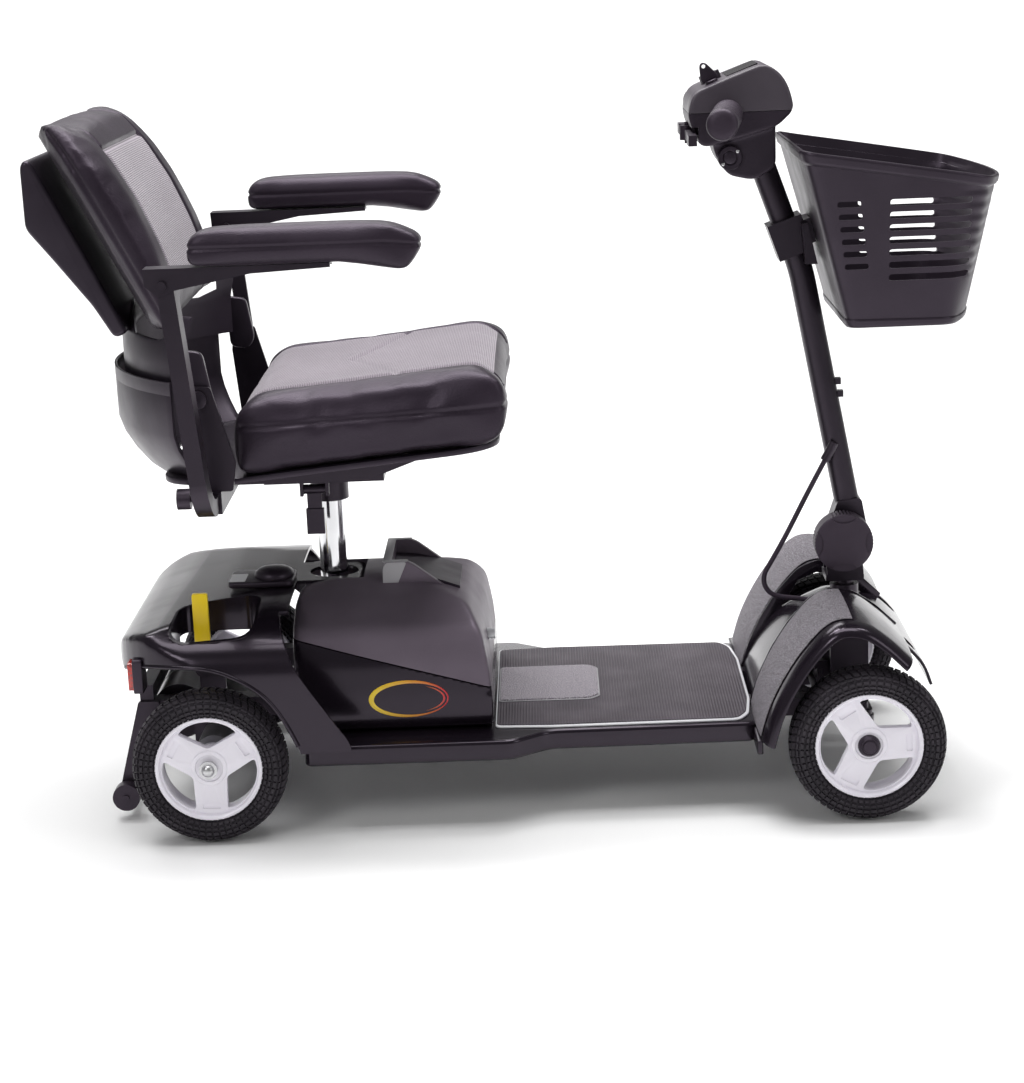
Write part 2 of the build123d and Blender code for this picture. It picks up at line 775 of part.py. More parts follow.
def make_rear_cover():
    inner = cover_block(wall)
    cover = cover_block(0) - inner
    cover -= box(-540, rear_x, -260, 260, 100, 190)
    cover -= box(-500, -230, -cover_half + wall, cover_half - wall, 100, deck_z + 6)
    cover -= across(rear_x, axle_z, -300, 300, 2 * arch_radius)
    cover -= box(battery_rear - 1, -200, -battery_half - 1.5, battery_half + 1.5, 100, 300)
    tongue = box(battery_rear - 35, -216, -notch_half + 1, notch_half - 1, cover_top - 4, cover_top)
    cover += tongue
    cover -= upright(post_x, 0, 200, 300, 62)
    cover -= plan_solid([(-438, -218), (-334, -218), (-334, -108), (-438, -108)], 200, 300, 24)
    for out in (-1, 1):
        cover -= box(-493, -479, out * 190 - 14, out * 190 + 14, 184, 222)
    keep("rear_cover", cover)
    lens = box(-492.5, -480, -203, -177, 186, 221.7)
    keep("rear_reflectors", both_sides(lens))
    console = plan_solid([(-382, -78), (-300, -78), (-300, -12), (-382, -12)], cover_top, cover_top + 8, 10)
    console += upright(-326, -45, cover_top + 8, cover_top + 12, 46)
    keep("latch_console", console)


# ---------------------------------------------------------------- seat


def make_post():
    keep("seat_post", upright(post_x, 0, 130, post_top, post_dia))


def base_at(x, lift=0):
    """Height of the seat base's sloping underside."""
    return base_z + max(0, x + 345) * base_rise + lift


def make_seat_frame():
    half = arm_bar / 2 + arm_wall + slide_gap
    frame = box(arm_x - half, arm_x + half, -235, 235, base_z - 2 * half, base_z)
    room = arm_bar / 2 + slide_gap
    middle = base_z - half
    frame -= box(arm_x - room, arm_x + room, -240, 240, middle - room, middle + room)
    rail = side_solid(
        [
            (arm_x + half, base_z),
            (-345, base_z),
            (-110, base_at(-110)),
            (-110, base_at(-110) - 16),
            (-200, 410),
            (arm_x + half, 410),
        ],
        60,
        80,
    )
    frame += both_sides(rail) + box(-330, -180, -60, 60, post_top + seat_gap, 412)
    hub = upright(post_x, 0, 372, 412, 48)
    frame += hub - upright(post_x, 0, 360, post_top + seat_gap, post_dia + 2 * running_gap)
    frame -= upright(post_x, 0, 360, post_top + seat_gap, post_dia + 2 * running_gap)
    ear_line = [(-388, base_z), (-345, base_z), (-340, 470), (-364, 560), (-392, 562), (-396, 530)]
    ear = side_solid(ear_line, 226, 231, 4)
    ear -= across(hinge_x, hinge_z, 220, 240, 12 + 2 * running_gap)
    frame += both_sides(ear)
    for x in (-285, -253):
        frame += box(x, x + 4, -66, -52, lever_hang_z - 8, 410.5)
    frame -= across_x(-290, -240, -59, lever_hang_z, 6 + 2 * running_gap)
    for out in (-1, 1):
        frame -= across_x(arm_x - half - 1, arm_x, out * 205, middle, 8 + 2 * running_gap)
    keep("seat_frame", frame)


def make_arm_knobs():
    half = arm_bar / 2 + arm_wall + slide_gap
    middle = base_z - half
    knobs = None
    for out in (-1, 1):
        knob = across_x(arm_x - half - 30, arm_x - half - 14, out * 205, middle, 25)
        knob += across_x(arm_x - half - 14, arm_x - half + arm_wall, out * 205, middle, 8)
        knobs = knob if knobs is None else knobs + knob
    keep("arm_knobs", knobs)


def make_swivel_lever():
    lever = across_x(-281 + seat_gap, -253 - seat_gap, -59, lever_hang_z, 12)
    lever += across_x(-285, -249, -59, lever_hang_z, 6)
    lever += box(-277, -259, -61, -57, 345, lever_hang_z) + box(-279, -257, -63, -55, 340, 372)
    keep("swivel_lever", lever)


def ring_sector(profile, spread):
    """Wall round the bucket's centre, from the profile of its radius and height, open to the front."""
    face = outline([(bucket_x - r, 0, z) for r, z in profile])
    solid = revolve(face, axis=Axis((bucket_x, 0, 0), (0, 0, 1)), revolution_arc=2 * spread)
    return Pos(bucket_x, 0, 0) * Rot(0, 0, -spread) * Pos(-bucket_x, 0, 0) * solid


def make_seat_shell():
    board = side_solid(
        [
            (-440, base_z),
            (-345, base_z),
            (-30, base_at(-30)),
            (-30, base_at(-30, base_board)),
            (-345, base_z + base_board),
            (-440, base_z + base_board),
        ],
        -195,
        195,
    )
    radius = bucket_radius
    wall_profile = [
        (radius - 62, base_z),
        (radius - 41, base_z),
        (radius, 500),
        (radius, bucket_top),
        (radius - 4, bucket_top),
        (radius - 4, 502),
        (radius - 44, base_z + base_board),
        (radius - 62, base_z + base_board),
    ]
    shell = board + ring_sector(wall_profile, 48.5)
    shell -= mirrored_box(-400, -330, 225.5, 231.5, 400, 600)
    keep("seat_shell", shell)


def make_seat_cushion():
    bottom = base_board + seat_gap
    points = [
        (seat_rear, base_z + bottom + 3),
        (-345, base_z + bottom),
        (-30, base_at(-30, bottom)),
        (seat_front, base_at(-30, bottom) + 22),
        (seat_front, base_at(-30, bottom) + cushion_height - 26),
        (-40, base_at(-40, bottom) + cushion_height),
        (-330, base_at(-330, bottom) + cushion_height + 4),
        (seat_rear, base_z + bottom + 84),
    ]
    keep("seat_cushion", side_solid(points, -seat_half, seat_half))


def back_barrel(radius):
    """Upright barrel that gives the back its wrap round the rider."""
    along = (back_head - back_foot).normalized()
    forward = Vector(along.Z, 0, -along.X)
    origin = back_foot + forward * back_radius - along * 200
    return Plane(origin=origin, z_dir=along) * Pos(0, 0, 400) * Cylinder(radius, 800)


def make_back():
    cushion = side_solid(back_line, -back_half, back_half) & back_barrel(back_radius)
    keep("back_cushion", cushion)
    panel_line = [(-578, 822), (-584, 816), (-583, 740), (-552, 702), (-510, 646)]
    panel_line += [(-486, 606), (-440, 640), (-500, 790)]
    rear = side_solid(panel_line, -140, 140) - inset_side(panel_line, -136, 136, 4)
    rear -= back_barrel(back_radius + seat_gap)
    radius = bucket_radius - 12
    waist_line = [(radius - 5, 556), (radius, 556), (radius, 604), (radius - 14, 640)]
    waist = ring_sector(waist_line + [(radius - 19, 640), (radius - 5, 602)], 52)
    waist -= back_barrel(back_radius + seat_gap) & box(-700, -300, -300, 300, 600, 700)
    waist -= side_solid(back_line, -back_half - 1, back_half + 1)
    arm = side_solid([(-396, 536), (-372, 532), (-364, 546), (-372, 600), (-400, 604)], 213.5, 224, 4)
    bolt = across(hinge_x, hinge_z, 215, 236, 12)
    keep("back_shell", waist + rear + both_sides(arm + bolt))


def make_arms():
    half = arm_bar / 2 + arm_wall + slide_gap
    middle = base_z - half
    top = Vector(arm_pivot_x + 2, 0, arm_pivot_z + 8)
    for hand, out in (("right", -1), ("left", 1)):
        points = [(arm_x, out * 70, middle), (arm_x, out * arm_half, middle), (top.X, out * arm_half, top.Z)]
        path = FilletPolyline(*points, radius=36)
        section = Plane(origin=path @ 0, z_dir=path % 0, x_dir=(1, 0, 0)) * Rectangle(arm_bar, arm_bar)
        bar = sweep(section, path=path)
        y = out * arm_half
        bar -= across(arm_pivot_x, arm_pivot_z, y - 20, y + 20, 10 + 2 * running_gap)
        keep(f"arm_bar_{hand}", bar)
        cheek_in = arm_bar / 2 + cheek_gap
        cheek_out = cheek_in + arm_wall
        line = [(-420, 709), (-419, 690), (-404, 677), (-386, 684), (-300, 700), (-210, 704), (-210, 709)]
        bracket = side_solid(line, y + cheek_in, y + cheek_out)
        bracket += side_solid(line, y - cheek_out, y - cheek_in)
        bracket += box(-420, -210, y - cheek_out, y + cheek_out, 706, 709)
        bracket += across(arm_pivot_x, arm_pivot_z, y - cheek_out - 5, y + cheek_out + 5, 10)
        keep(f"armrest_bracket_{hand}", bracket)
        pad_line = [
            (-371, 709 + seat_gap),
            (-371, 742),
            (-350, 755),
            (-140, 755),
            (-106, 740),
            (-101, 729),
            (-123, 695),
            (-166, 705),
            (-200, 709 + seat_gap),
        ]
        y = out * pad_half_spacing
        keep(f"armrest_pad_{hand}", side_solid(pad_line, y - pad_half_width, y + pad_half_width, 5))


make_wheels()
make_half_shafts()
make_transaxle()
make_rear_frame()
make_freewheel_lever()
make_anti_tip_wheels()
make_front_frame()
make_floor_pan()
make_mat()
make_knuckles()
make_tie_rod()
make_steering_column()
make_cable()
make_tiller()
make_tilt_knob()
make_grips()
make_head()
make_basket()
make_basket_bracket()
make_battery()
make_rear_cover()
make_post()
make_seat_frame()
make_arm_knobs()
make_swivel_lever()
make_seat_shell()
make_seat_cushion()
make_back()
make_arms()

os.makedirs("parts", exist_ok=True)
for name, solid in nodes.items():
    export_step(solid, f"parts/{name}.step")
print(len(nodes), "nodes")
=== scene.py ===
from math import cos, hypot, pi, radians, sin, sqrt

import bpy
from mathutils import Matrix, Vector
from mathutils.bvhtree import BVHTree


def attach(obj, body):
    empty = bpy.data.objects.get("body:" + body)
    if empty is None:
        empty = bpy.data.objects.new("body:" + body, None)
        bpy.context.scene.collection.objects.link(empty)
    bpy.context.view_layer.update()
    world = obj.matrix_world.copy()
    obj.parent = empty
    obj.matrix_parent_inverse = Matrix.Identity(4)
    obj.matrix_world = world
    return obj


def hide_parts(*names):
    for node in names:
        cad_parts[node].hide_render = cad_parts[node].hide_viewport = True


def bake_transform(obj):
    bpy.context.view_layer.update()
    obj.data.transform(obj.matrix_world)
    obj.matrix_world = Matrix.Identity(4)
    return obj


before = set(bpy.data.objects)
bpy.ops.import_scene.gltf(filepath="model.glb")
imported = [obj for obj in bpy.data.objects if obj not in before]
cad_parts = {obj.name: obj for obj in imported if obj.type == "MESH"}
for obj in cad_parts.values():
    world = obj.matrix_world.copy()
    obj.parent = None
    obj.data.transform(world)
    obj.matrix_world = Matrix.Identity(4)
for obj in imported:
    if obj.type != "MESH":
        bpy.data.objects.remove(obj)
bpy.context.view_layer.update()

# Lengths in this script are in millimetres, and become metres as a mesh is placed.
MM = 0.001

# ------------------------------------------------------------------ camera

camera_data = bpy.data.cameras.new("camera")
camera_data.lens = 79.3
camera_data.sensor_width = 36
camera_data.sensor_fit = "AUTO"
camera_data.shift_x = 0.0033
camera_data.shift_y = -0.0018
camera_data.clip_end = 60
camera = bpy.data.objects.new("camera", camera_data)
camera.matrix_world = Matrix(
    (
        (0.99916, 0.03637, 0.01906, 0.02841),
        (0.00970, 0.24201, -0.97023, -2.95485),
        (-0.03990, 0.96959, 0.24145, 1.04346),
        (0, 0, 0, 1),
    )
)
bpy.context.scene.collection.objects.link(camera)
bpy.context.scene.camera = camera

# ------------------------------------------------------------------ finishes


class Link:
    """A shader value that takes part in ordinary arithmetic."""

    def __init__(self, finish, socket):
        self.finish = finish
        self.socket = socket

    def math(self, operation, a, b=0.0):
        return self.finish.node("ShaderNodeMath", {"operation": operation}, {0: a, 1: b})

    def __add__(self, other):
        return self.math("ADD", self, other)

    def __mul__(self, other):
        return self.math("MULTIPLY", self, other)


class Finish:
    """A surface finish: its shader and the nodes that vary it."""

    def __init__(self, name, **fixed):
        self.material = bpy.data.materials.new(name)
        self.material.use_nodes = True
        self.tree = self.material.node_tree
        self.shader = self.tree.nodes["Principled BSDF"]
        for key, value in fixed.items():
            self.shader.inputs[key.replace("_", " ")].default_value = value
        self.place = self.node("ShaderNodeTexCoord", out="Object")

    def node(self, kind, settings=(), sockets=(), out=0):
        made = self.tree.nodes.new(kind)
        for key, value in dict(settings).items():
            setattr(made, key, value)
        for key, value in dict(sockets).items():
            if isinstance(value, Link):
                self.tree.links.new(value.socket, made.inputs[key])
            else:
                made.inputs[key].default_value = value
        return Link(self, made.outputs[out])

    def stretched(self, x, y, z):
        return self.node("ShaderNodeMapping", (), {"Vector": self.place, "Scale": (x, y, z)})

    def cloud(self, scale, detail=3.0, rough=0.5, place=None):
        sockets = {"Vector": place or self.place, "Scale": scale, "Detail": detail, "Roughness": rough}
        return self.node("ShaderNodeTexNoise", (), sockets)

    def cells(self, scale):
        return self.node("ShaderNodeTexVoronoi", (), {"Vector": self.place, "Scale": scale}, "Distance")

    def bands(self, scale, direction):
        settings = {"wave_type": "BANDS", "bands_direction": direction}
        return self.node("ShaderNodeTexWave", settings, {"Vector": self.place, "Scale": scale})

    def tint(self, share, first, second):
        """Base colour that runs from one tone to another."""
        self.feed(
            "Base Color",
            self.node("ShaderNodeMix", {"data_type": "RGBA"}, {0: share, 6: first, 7: second}, 2),
        )

    def gloss(self, value, low, high, smooth, dull):
        """Roughness from smooth to dull as a value goes from low to high."""
        self.feed("Roughness", self.level(value, low, high, smooth, dull))

    def level(self, value, low, high, to_low=0.0, to_high=1.0):
        return self.node(
            "ShaderNodeMapRange", {"clamp": True}, {0: value, 1: low, 2: high, 3: to_low, 4: to_high}
        )

    def feed(self, socket, value):
        self.tree.links.new(value.socket, self.shader.inputs[socket])

    def bump(self, height, strength, distance):
        made = self.node("ShaderNodeBump", (), {"Height": height, "Strength": strength, "Distance": distance})
        self.feed("Normal", made)


def tone(red, green, blue):
    return (red, green, blue, 1.0)


# Soft violet cast that the dark parts have under the studio light.
PLUM = (0.95, 0.8, 1.0, 1.0)


def grainy_plastic(name, dark, light, rough, grain, depth, **fixed):
    """Moulded plastic with a fine sparkle-free grain and faint handling marks."""
    made = Finish(name, **fixed)
    marks = made.cloud(9, 4)
    made.tint(made.level(marks, 0.35, 0.7), dark, light)
    made.gloss(made.cloud(28, 5), 0.3, 0.75, rough - 0.05, rough + 0.07)
    made.bump(made.cloud(grain, 2, 0.6) + made.cells(grain * 0.8) * 0.6, 0.35, depth)
    return made.material


def painted(name, dark, light, rough, coat, peel=0.00006, **fixed):
    """Gloss paint with a little orange peel and soft smears in its shine."""
    made = Finish(name, Coat_Weight=coat, Coat_Roughness=0.04, **fixed)
    made.tint(made.level(made.cloud(6, 3), 0.3, 0.75), dark, light)
    smear = made.cloud(5, 6, 0.6, made.stretched(1, 3, 2))
    made.gloss(smear, 0.35, 0.8, rough, rough + 0.1)
    made.bump(made.cloud(260, 2), 0.25, peel)
    return made.material


def dimmed(colour, share):
    return tone(*[channel * share for channel in colour[:3]])


def metal(name, colour, rough, brushed):
    """Bare or plated metal with fine lines left by polishing."""
    made = Finish(name, Metallic=1.0)
    lines = made.cloud(40, 4, 0.6, made.stretched(*brushed))
    made.tint(made.level(made.cloud(22, 4), 0.3, 0.8), colour, dimmed(colour, 0.82))
    made.gloss(lines, 0.3, 0.7, rough, rough + 0.09)
    made.bump(lines, 0.12, 0.00004)
    return made.material


def rubber():
    made = Finish("tyre_rubber", Specular_IOR_Level=0.35)
    dust = made.level(made.cloud(30, 5), 0.45, 0.8)
    made.tint(dust, tone(0.02, 0.016, 0.022), tone(0.045, 0.037, 0.047))
    made.gloss(made.cloud(60, 4), 0.3, 0.7, 0.55, 0.72)
    made.bump(made.cloud(700, 2), 0.3, 0.00015)
    return made.material


def vinyl():
    """Leather-grained upholstery vinyl with a soft sheen."""
    made = Finish(
        "seat_vinyl", Sheen_Weight=0.04, Sheen_Roughness=0.4, Specular_IOR_Level=0.36, Specular_Tint=PLUM
    )
    grain = made.cells(620) * 0.7 + made.cells(310) * 0.5 + made.cloud(900, 2) * 0.3
    wear = made.level(made.cloud(7, 4), 0.4, 0.75)
    made.tint(wear, tone(0.014, 0.0095, 0.0155), tone(0.025, 0.018, 0.027))
    made.gloss(made.cloud(14, 5), 0.3, 0.7, 0.36, 0.48)
    made.bump(grain + made.cloud(26, 4) * 0.7, 0.45, 0.0004)
    return made.material


def ribbed_cloth(name, direction, pitch):
    """Grey upholstery cloth woven with fine ribs."""
    made = Finish(name, Sheen_Weight=0.35, Sheen_Roughness=0.5)
    rib = made.bands(2 * pi / pitch / 20, direction)
    thread = made.cells(1100)
    tint = made.level(rib * 0.7 + thread * 0.3 + made.cloud(12, 3) * 0.25, 0.15, 0.95)
    made.tint(tint, tone(0.045, 0.036, 0.046), tone(0.3, 0.255, 0.3))
    made.gloss(thread, 0.1, 0.8, 0.6, 0.85)
    made.bump(rib + thread * 0.35, 0.7, 0.0008)
    return made.material


def mat_rubber():
    made = Finish("mat_rubber")
    rib = made.bands(2 * pi / 0.0036 / 20, "X")
    dust = made.level(made.cloud(18, 5), 0.4, 0.8)
    made.tint(dust, tone(0.055, 0.045, 0.056), tone(0.095, 0.08, 0.096))
    made.gloss(rib, 0.0, 1.0, 0.75, 0.55)
    made.bump(rib, 0.8, 0.0008)
    return made.material


def grit(name, dark, light, grain):
    """Anti-slip surface: light grains bonded on a dark sheet."""
    made = Finish(name)
    stone = made.cells(grain)
    fleck = made.level(made.cloud(grain * 1.3, 3, 0.8), 0.42, 0.62)
    made.tint(fleck, dark, light)
    made.gloss(fleck, 0, 1, 0.85, 0.45)
    made.bump(stone + fleck * 0.5, 0.8, 0.0009)
    return made.material


def clear_plastic(name, colour):
    made = Finish(name, Transmission_Weight=0.6, IOR=1.45)
    made.tint(made.level(made.cloud(60, 3), 0.3, 0.7), colour, dimmed(colour, 0.85))
    made.gloss(made.cloud(90, 3), 0.3, 0.7, 0.12, 0.25)
    return made.material


def lens():
    """Red reflector with moulded prisms behind a gloss face."""
    made = Finish("red_lens", Coat_Weight=1.0, Coat_Roughness=0.03)
    prism = made.cells(420)
    made.tint(made.level(prism, 0.1, 0.8), tone(0.75, 0.03, 0.015), tone(0.25, 0.004, 0.003))
    made.gloss(prism, 0.0, 0.8, 0.12, 0.35)
    made.bump(prism, 0.5, 0.0005)
    return made.material


# name: darker tone, lighter tone, roughness, grain, grain depth, violet cast
GRAINED = {
    "frame_black": ((0.009, 0.007, 0.010), (0.016, 0.0125, 0.017), 0.34, 420, 0.00012, True),
    "textured_grey": ((0.1, 0.082, 0.102), (0.13, 0.108, 0.133), 0.44, 520, 0.00025, True),
    "matte_black": ((0.012, 0.0085, 0.013), (0.021, 0.016, 0.023), 0.4, 480, 0.0002, True),
    "light_grey": ((0.3, 0.29, 0.31), (0.38, 0.37, 0.39), 0.42, 420, 0.0002, False),
    "yellow": ((0.85, 0.62, 0.01), (0.8, 0.53, 0.01), 0.35, 300, 0.0001, False),
    "grip_rubber": ((0.015, 0.010, 0.016), (0.025, 0.018, 0.027), 0.5, 800, 0.0003, True),
    "shell_black": ((0.012, 0.009, 0.0135), (0.02, 0.016, 0.022), 0.34, 420, 0.0001, True),
    "head_grey": ((0.055, 0.044, 0.058), (0.075, 0.062, 0.078), 0.38, 520, 0.00015, False),
    "knob_grey": ((0.028, 0.021, 0.03), (0.042, 0.033, 0.044), 0.48, 520, 0.0002, True),
}
finishes = {
    name: grainy_plastic(
        name, tone(*dark), tone(*light), *rest, **({"Specular_Tint": PLUM} if violet else {})
    )
    for name, (dark, light, *rest, violet) in GRAINED.items()
}
finishes.update(
    tyre_rubber=rubber(),
    white_rim=painted("white_rim", tone(0.9, 0.87, 0.94), tone(0.82, 0.79, 0.86), 0.34, 0.2),
    bright_steel=metal("bright_steel", tone(0.86, 0.86, 0.88), 0.07, (30, 30, 1)),
    zinc_steel=metal("zinc_steel", tone(0.62, 0.62, 0.63), 0.28, (1, 30, 30)),
    alloy=metal("alloy", tone(0.5, 0.5, 0.51), 0.42, (6, 6, 6)),
    gloss_black=painted(
        "gloss_black", tone(0.005, 0.0035, 0.006), tone(0.011, 0.008, 0.012), 0.17, 0.12,
        Specular_IOR_Level=0.38, Specular_Tint=PLUM,
    ),
    mat_rubber=mat_rubber(),
    grit_pad=grit("grit_pad", tone(0.09, 0.08, 0.092), tone(0.6, 0.55, 0.61), 480),
    fender_grit=grit("fender_grit", tone(0.05, 0.044, 0.052), tone(0.36, 0.33, 0.37), 560),
    red_lens=lens(),
    seat_vinyl=vinyl(),
    seat_cloth=ribbed_cloth("seat_cloth", "X", 0.0021),
    back_cloth=ribbed_cloth("back_cloth", "Z", 0.0021),
    clear_button=clear_plastic("clear_button", tone(0.85, 0.86, 0.88)),
    label_white=painted("label_white", tone(0.7, 0.7, 0.72), tone(0.6, 0.6, 0.63), 0.35, 0.2),
)


def badge_ring():
    """Printed oval ring that runs from yellow to red."""
    made = Finish("badge_ring", Coat_Weight=0.3)
    x = made.node("ShaderNodeSeparateXYZ", (), {0: made.place}, "X")
    share = made.level(x, -0.198, -0.112)
    made.tint(share, tone(0.85, 0.6, 0.02), tone(0.55, 0.01, 0.02))
    made.gloss(made.cloud(80, 3), 0.3, 0.7, 0.3, 0.42)
    return made.material


finishes["badge_ring"] = badge_ring()

# ------------------------------------------------------------------ modelling tools

VIEWS = {
    "side": lambda a, b, c: Vector((a, c, b)) * MM,
    "plan": lambda a, b, c: Vector((a, b, c)) * MM,
    "end": lambda a, b, c: Vector((c, a, b)) * MM,
}
AXES = {"x": Vector((1, 0, 0)), "y": Vector((0, 1, 0)), "z": Vector((0, 0, 1))}
EVERYTHING = ("select_all", {"action": "SELECT"})
OUTWARD = ("normals_make_consistent", {"inside": False})


def alone(piece):
    """Selects one piece and nothing else."""
    bpy.ops.object.select_all(action="DESELECT")
    piece.select_set(True)
    bpy.context.view_layer.objects.active = piece


def edit(piece, *steps):
    """Runs edit-mode operators on all of a piece's mesh."""
    alone(piece)
    bpy.ops.object.mode_set(mode="EDIT")
    bpy.ops.mesh.select_all(action="SELECT")
    for step, settings in steps:
        getattr(bpy.ops.mesh, step)(**settings)
    bpy.ops.object.mode_set(mode="OBJECT")


def primitive(kind, name, **settings):
    bpy.ops.object.select_all(action="DESELECT")
    getattr(bpy.ops.mesh, f"primitive_{kind}_add")(**settings)
    piece = bpy.context.object
    piece.name = name
    piece.data.name = name
    return piece


def plate(name, points, view, low, high, bevel=0, segments=3):
    """Outline drawn in one view and carried from low to high."""
    piece = primitive("circle", name, vertices=len(points), fill_type="NGON")
    for vertex, (a, b) in zip(piece.data.vertices, points):
        vertex.co = VIEWS[view](a, b, low)
    run = VIEWS[view](0, 0, high) - VIEWS[view](0, 0, low)
    edit(
        piece,
        ("extrude_region_move", {"TRANSFORM_OT_translate": {"value": run}}),
        EVERYTHING,
        OUTWARD,
    )
    if bevel:
        bevelled(piece, bevel, segments)
    return piece


def turned(name, profile, centre, axis="y", steps=48):
    """Closed profile of (radius, distance along the axis), turned about that axis."""
    piece = primitive("circle", name, vertices=len(profile), fill_type="NOTHING")
    along = AXES[axis] if isinstance(axis, str) else Vector(axis).normalized()
    radial = Vector((1, 0, 0)) if abs(along.x) < 0.7 else Vector((0, 0, 1))
    radial = (radial - along * radial.dot(along)).normalized()
    middle = Vector(centre) * MM
    for vertex, (radius, distance) in zip(piece.data.vertices, profile):
        vertex.co = middle + (radial * radius + along * distance) * MM
    edit(
        piece,
        ("spin", {"steps": steps, "angle": 2 * pi, "center": middle, "axis": along}),
        EVERYTHING,
        ("remove_doubles", {"threshold": 0.00001}),
        ("delete_loose", {}),
        EVERYTHING,
        OUTWARD,
    )
    return piece


def skin(name, across, along, shape, closed=False):
    """Grid whose points come from shape(u, v), each from 0 to 1."""
    piece = primitive("grid", name, x_subdivisions=across, y_subdivisions=along, size=1)
    for vertex in piece.data.vertices:
        vertex.co = Vector(shape(vertex.co.x + 0.5, vertex.co.y + 0.5)) * MM
    steps = [("remove_doubles", {"threshold": 0.00001})]
    if closed:
        steps += [EVERYTHING, ("fill_holes", {"sides": 0})]
        steps += [EVERYTHING, OUTWARD]
    edit(piece, *steps)
    return piece


def corners(across, up):
    return [(across[0], up[0]), (across[1], up[0]), (across[1], up[1]), (across[0], up[1])]


def mirrored(points, across=-1, up=1):
    """Half an outline and its mirror image, as one outline."""
    return points + [(a * across, b * up) for a, b in reversed(points)]


def held(value, low, high):
    return max(low, min(high, value))


def block(name, view, across, up, low, high):
    """Box given by its two ranges in one view, carried from low to high."""
    return plate(name, corners(across, up), view, low, high)


def rod(name, radius, low, high, centre, axis="y", steps=48):
    """Cylinder between two distances along an axis."""
    return turned(name, [(0, low), (radius, low), (radius, high), (0, high)], centre, axis, steps)


def applied(piece, kind, **settings):
    alone(piece)
    modifier = piece.modifiers.new(kind.lower(), kind)
    for key, value in settings.items():
        setattr(modifier, key, value)
    bpy.ops.object.modifier_apply(modifier=modifier.name)
    return piece


def bevelled(piece, width, segments=3, angle=30):
    return applied(
        piece, "BEVEL", width=width * MM, segments=segments, limit_method="ANGLE", angle_limit=radians(angle),
        harden_normals=False,
    )


def thickened(piece, thickness, offset=-1):
    return applied(piece, "SOLIDIFY", thickness=thickness * MM, offset=offset, use_even_offset=True)


def combined(piece, operation, others):
    for other in others:
        applied(piece, "BOOLEAN", operation=operation, object=other, solver="EXACT")
        bpy.data.objects.remove(other, do_unlink=True)
    return piece


def less(piece, *others):
    return combined(piece, "DIFFERENCE", others)


def shared(piece, *others):
    return combined(piece, "INTERSECT", others)


def united(piece, *others):
    return combined(piece, "UNION", others)


def facing(piece, *direction):
    """Turn a sheet's faces round if most of them look away from a direction."""
    if sum(face.normal.dot(Vector(direction)) * face.area for face in piece.data.polygons) < 0:
        edit(piece, ("flip_normals", {}))
    return piece


def remeshed(piece, size):
    return applied(piece, "REMESH", mode="VOXEL", voxel_size=size * MM, use_smooth_shade=True)


def softened(piece, size, rounds):
    """Even mesh over a solid, with every edge eased as a moulding's are."""
    remeshed(piece, size)
    return applied(piece, "SMOOTH", factor=0.5, iterations=rounds)


def surface_of(piece):
    return BVHTree.FromPolygons(
        [v.co for v in piece.data.vertices], [f.vertices[:] for f in piece.data.polygons]
    )


def joined(piece, *others):
    """Makes one mesh of pieces that only touch."""
    alone(piece)
    for other in others:
        other.select_set(True)
    bpy.ops.object.join()
    return piece


def fitted(piece, body, finish, replaces=(), smooth=38):
    """Gives a finished piece its finish and the body it moves with."""
    names = [finish] if isinstance(finish, str) else finish
    if len(piece.data.materials) == 0:
        for name in names:
            piece.data.materials.append(finishes[name])
    alone(piece)
    if smooth:
        bpy.ops.object.shade_smooth_by_angle(angle=radians(smooth))
    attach(piece, body)
    if replaces:
        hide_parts(*replaces)
    return piece


def eased(points, reach, steps=5, closed=True):
    """Outline with its corners rounded over a given reach."""
    made = []
    count = len(points)
    for i, (x, y) in enumerate(points):
        before, after = points[i - 1], points[(i + 1) % count]
        if not closed and i in (0, count - 1):
            made.append((x, y))
            continue
        back = hypot(before[0] - x, before[1] - y)
        front = hypot(after[0] - x, after[1] - y)
        a, b = min(reach / back, 0.46), min(reach / front, 0.46)
        start = (x + (before[0] - x) * a, y + (before[1] - y) * a)
        stop = (x + (after[0] - x) * b, y + (after[1] - y) * b)
        for k in range(steps + 1):
            t = k / steps
            made.append(
                (
                    (1 - t) ** 2 * start[0] + 2 * t * (1 - t) * x + t * t * stop[0],
                    (1 - t) ** 2 * start[1] + 2 * t * (1 - t) * y + t * t * stop[1],
                )
            )
    return made


def at(points, t):
    """Point a share of the way along a run of points, by smooth interpolation between them."""
    lengths = [0]
    for a, b in zip(points, points[1:]):
        lengths.append(lengths[-1] + hypot(*(p - q for p, q in zip(a, b))))
    want = max(0, min(1, t)) * lengths[-1]
    i = max(k for k in range(len(points) - 1) if lengths[k] <= want)
    s = (want - lengths[i]) / (lengths[i + 1] - lengths[i])
    p1, p2 = points[i], points[i + 1]
    p0, p3 = points[max(i - 1, 0)], points[min(i + 2, len(points) - 1)]
    return tuple(
        0.5
        * (2 * b + (c - a) * s + (2 * a - 5 * b + 4 * c - d) * s * s + (3 * b - a - 3 * c + d) * s * s * s)
        for a, b, c, d in zip(p0, p1, p2, p3)
    )


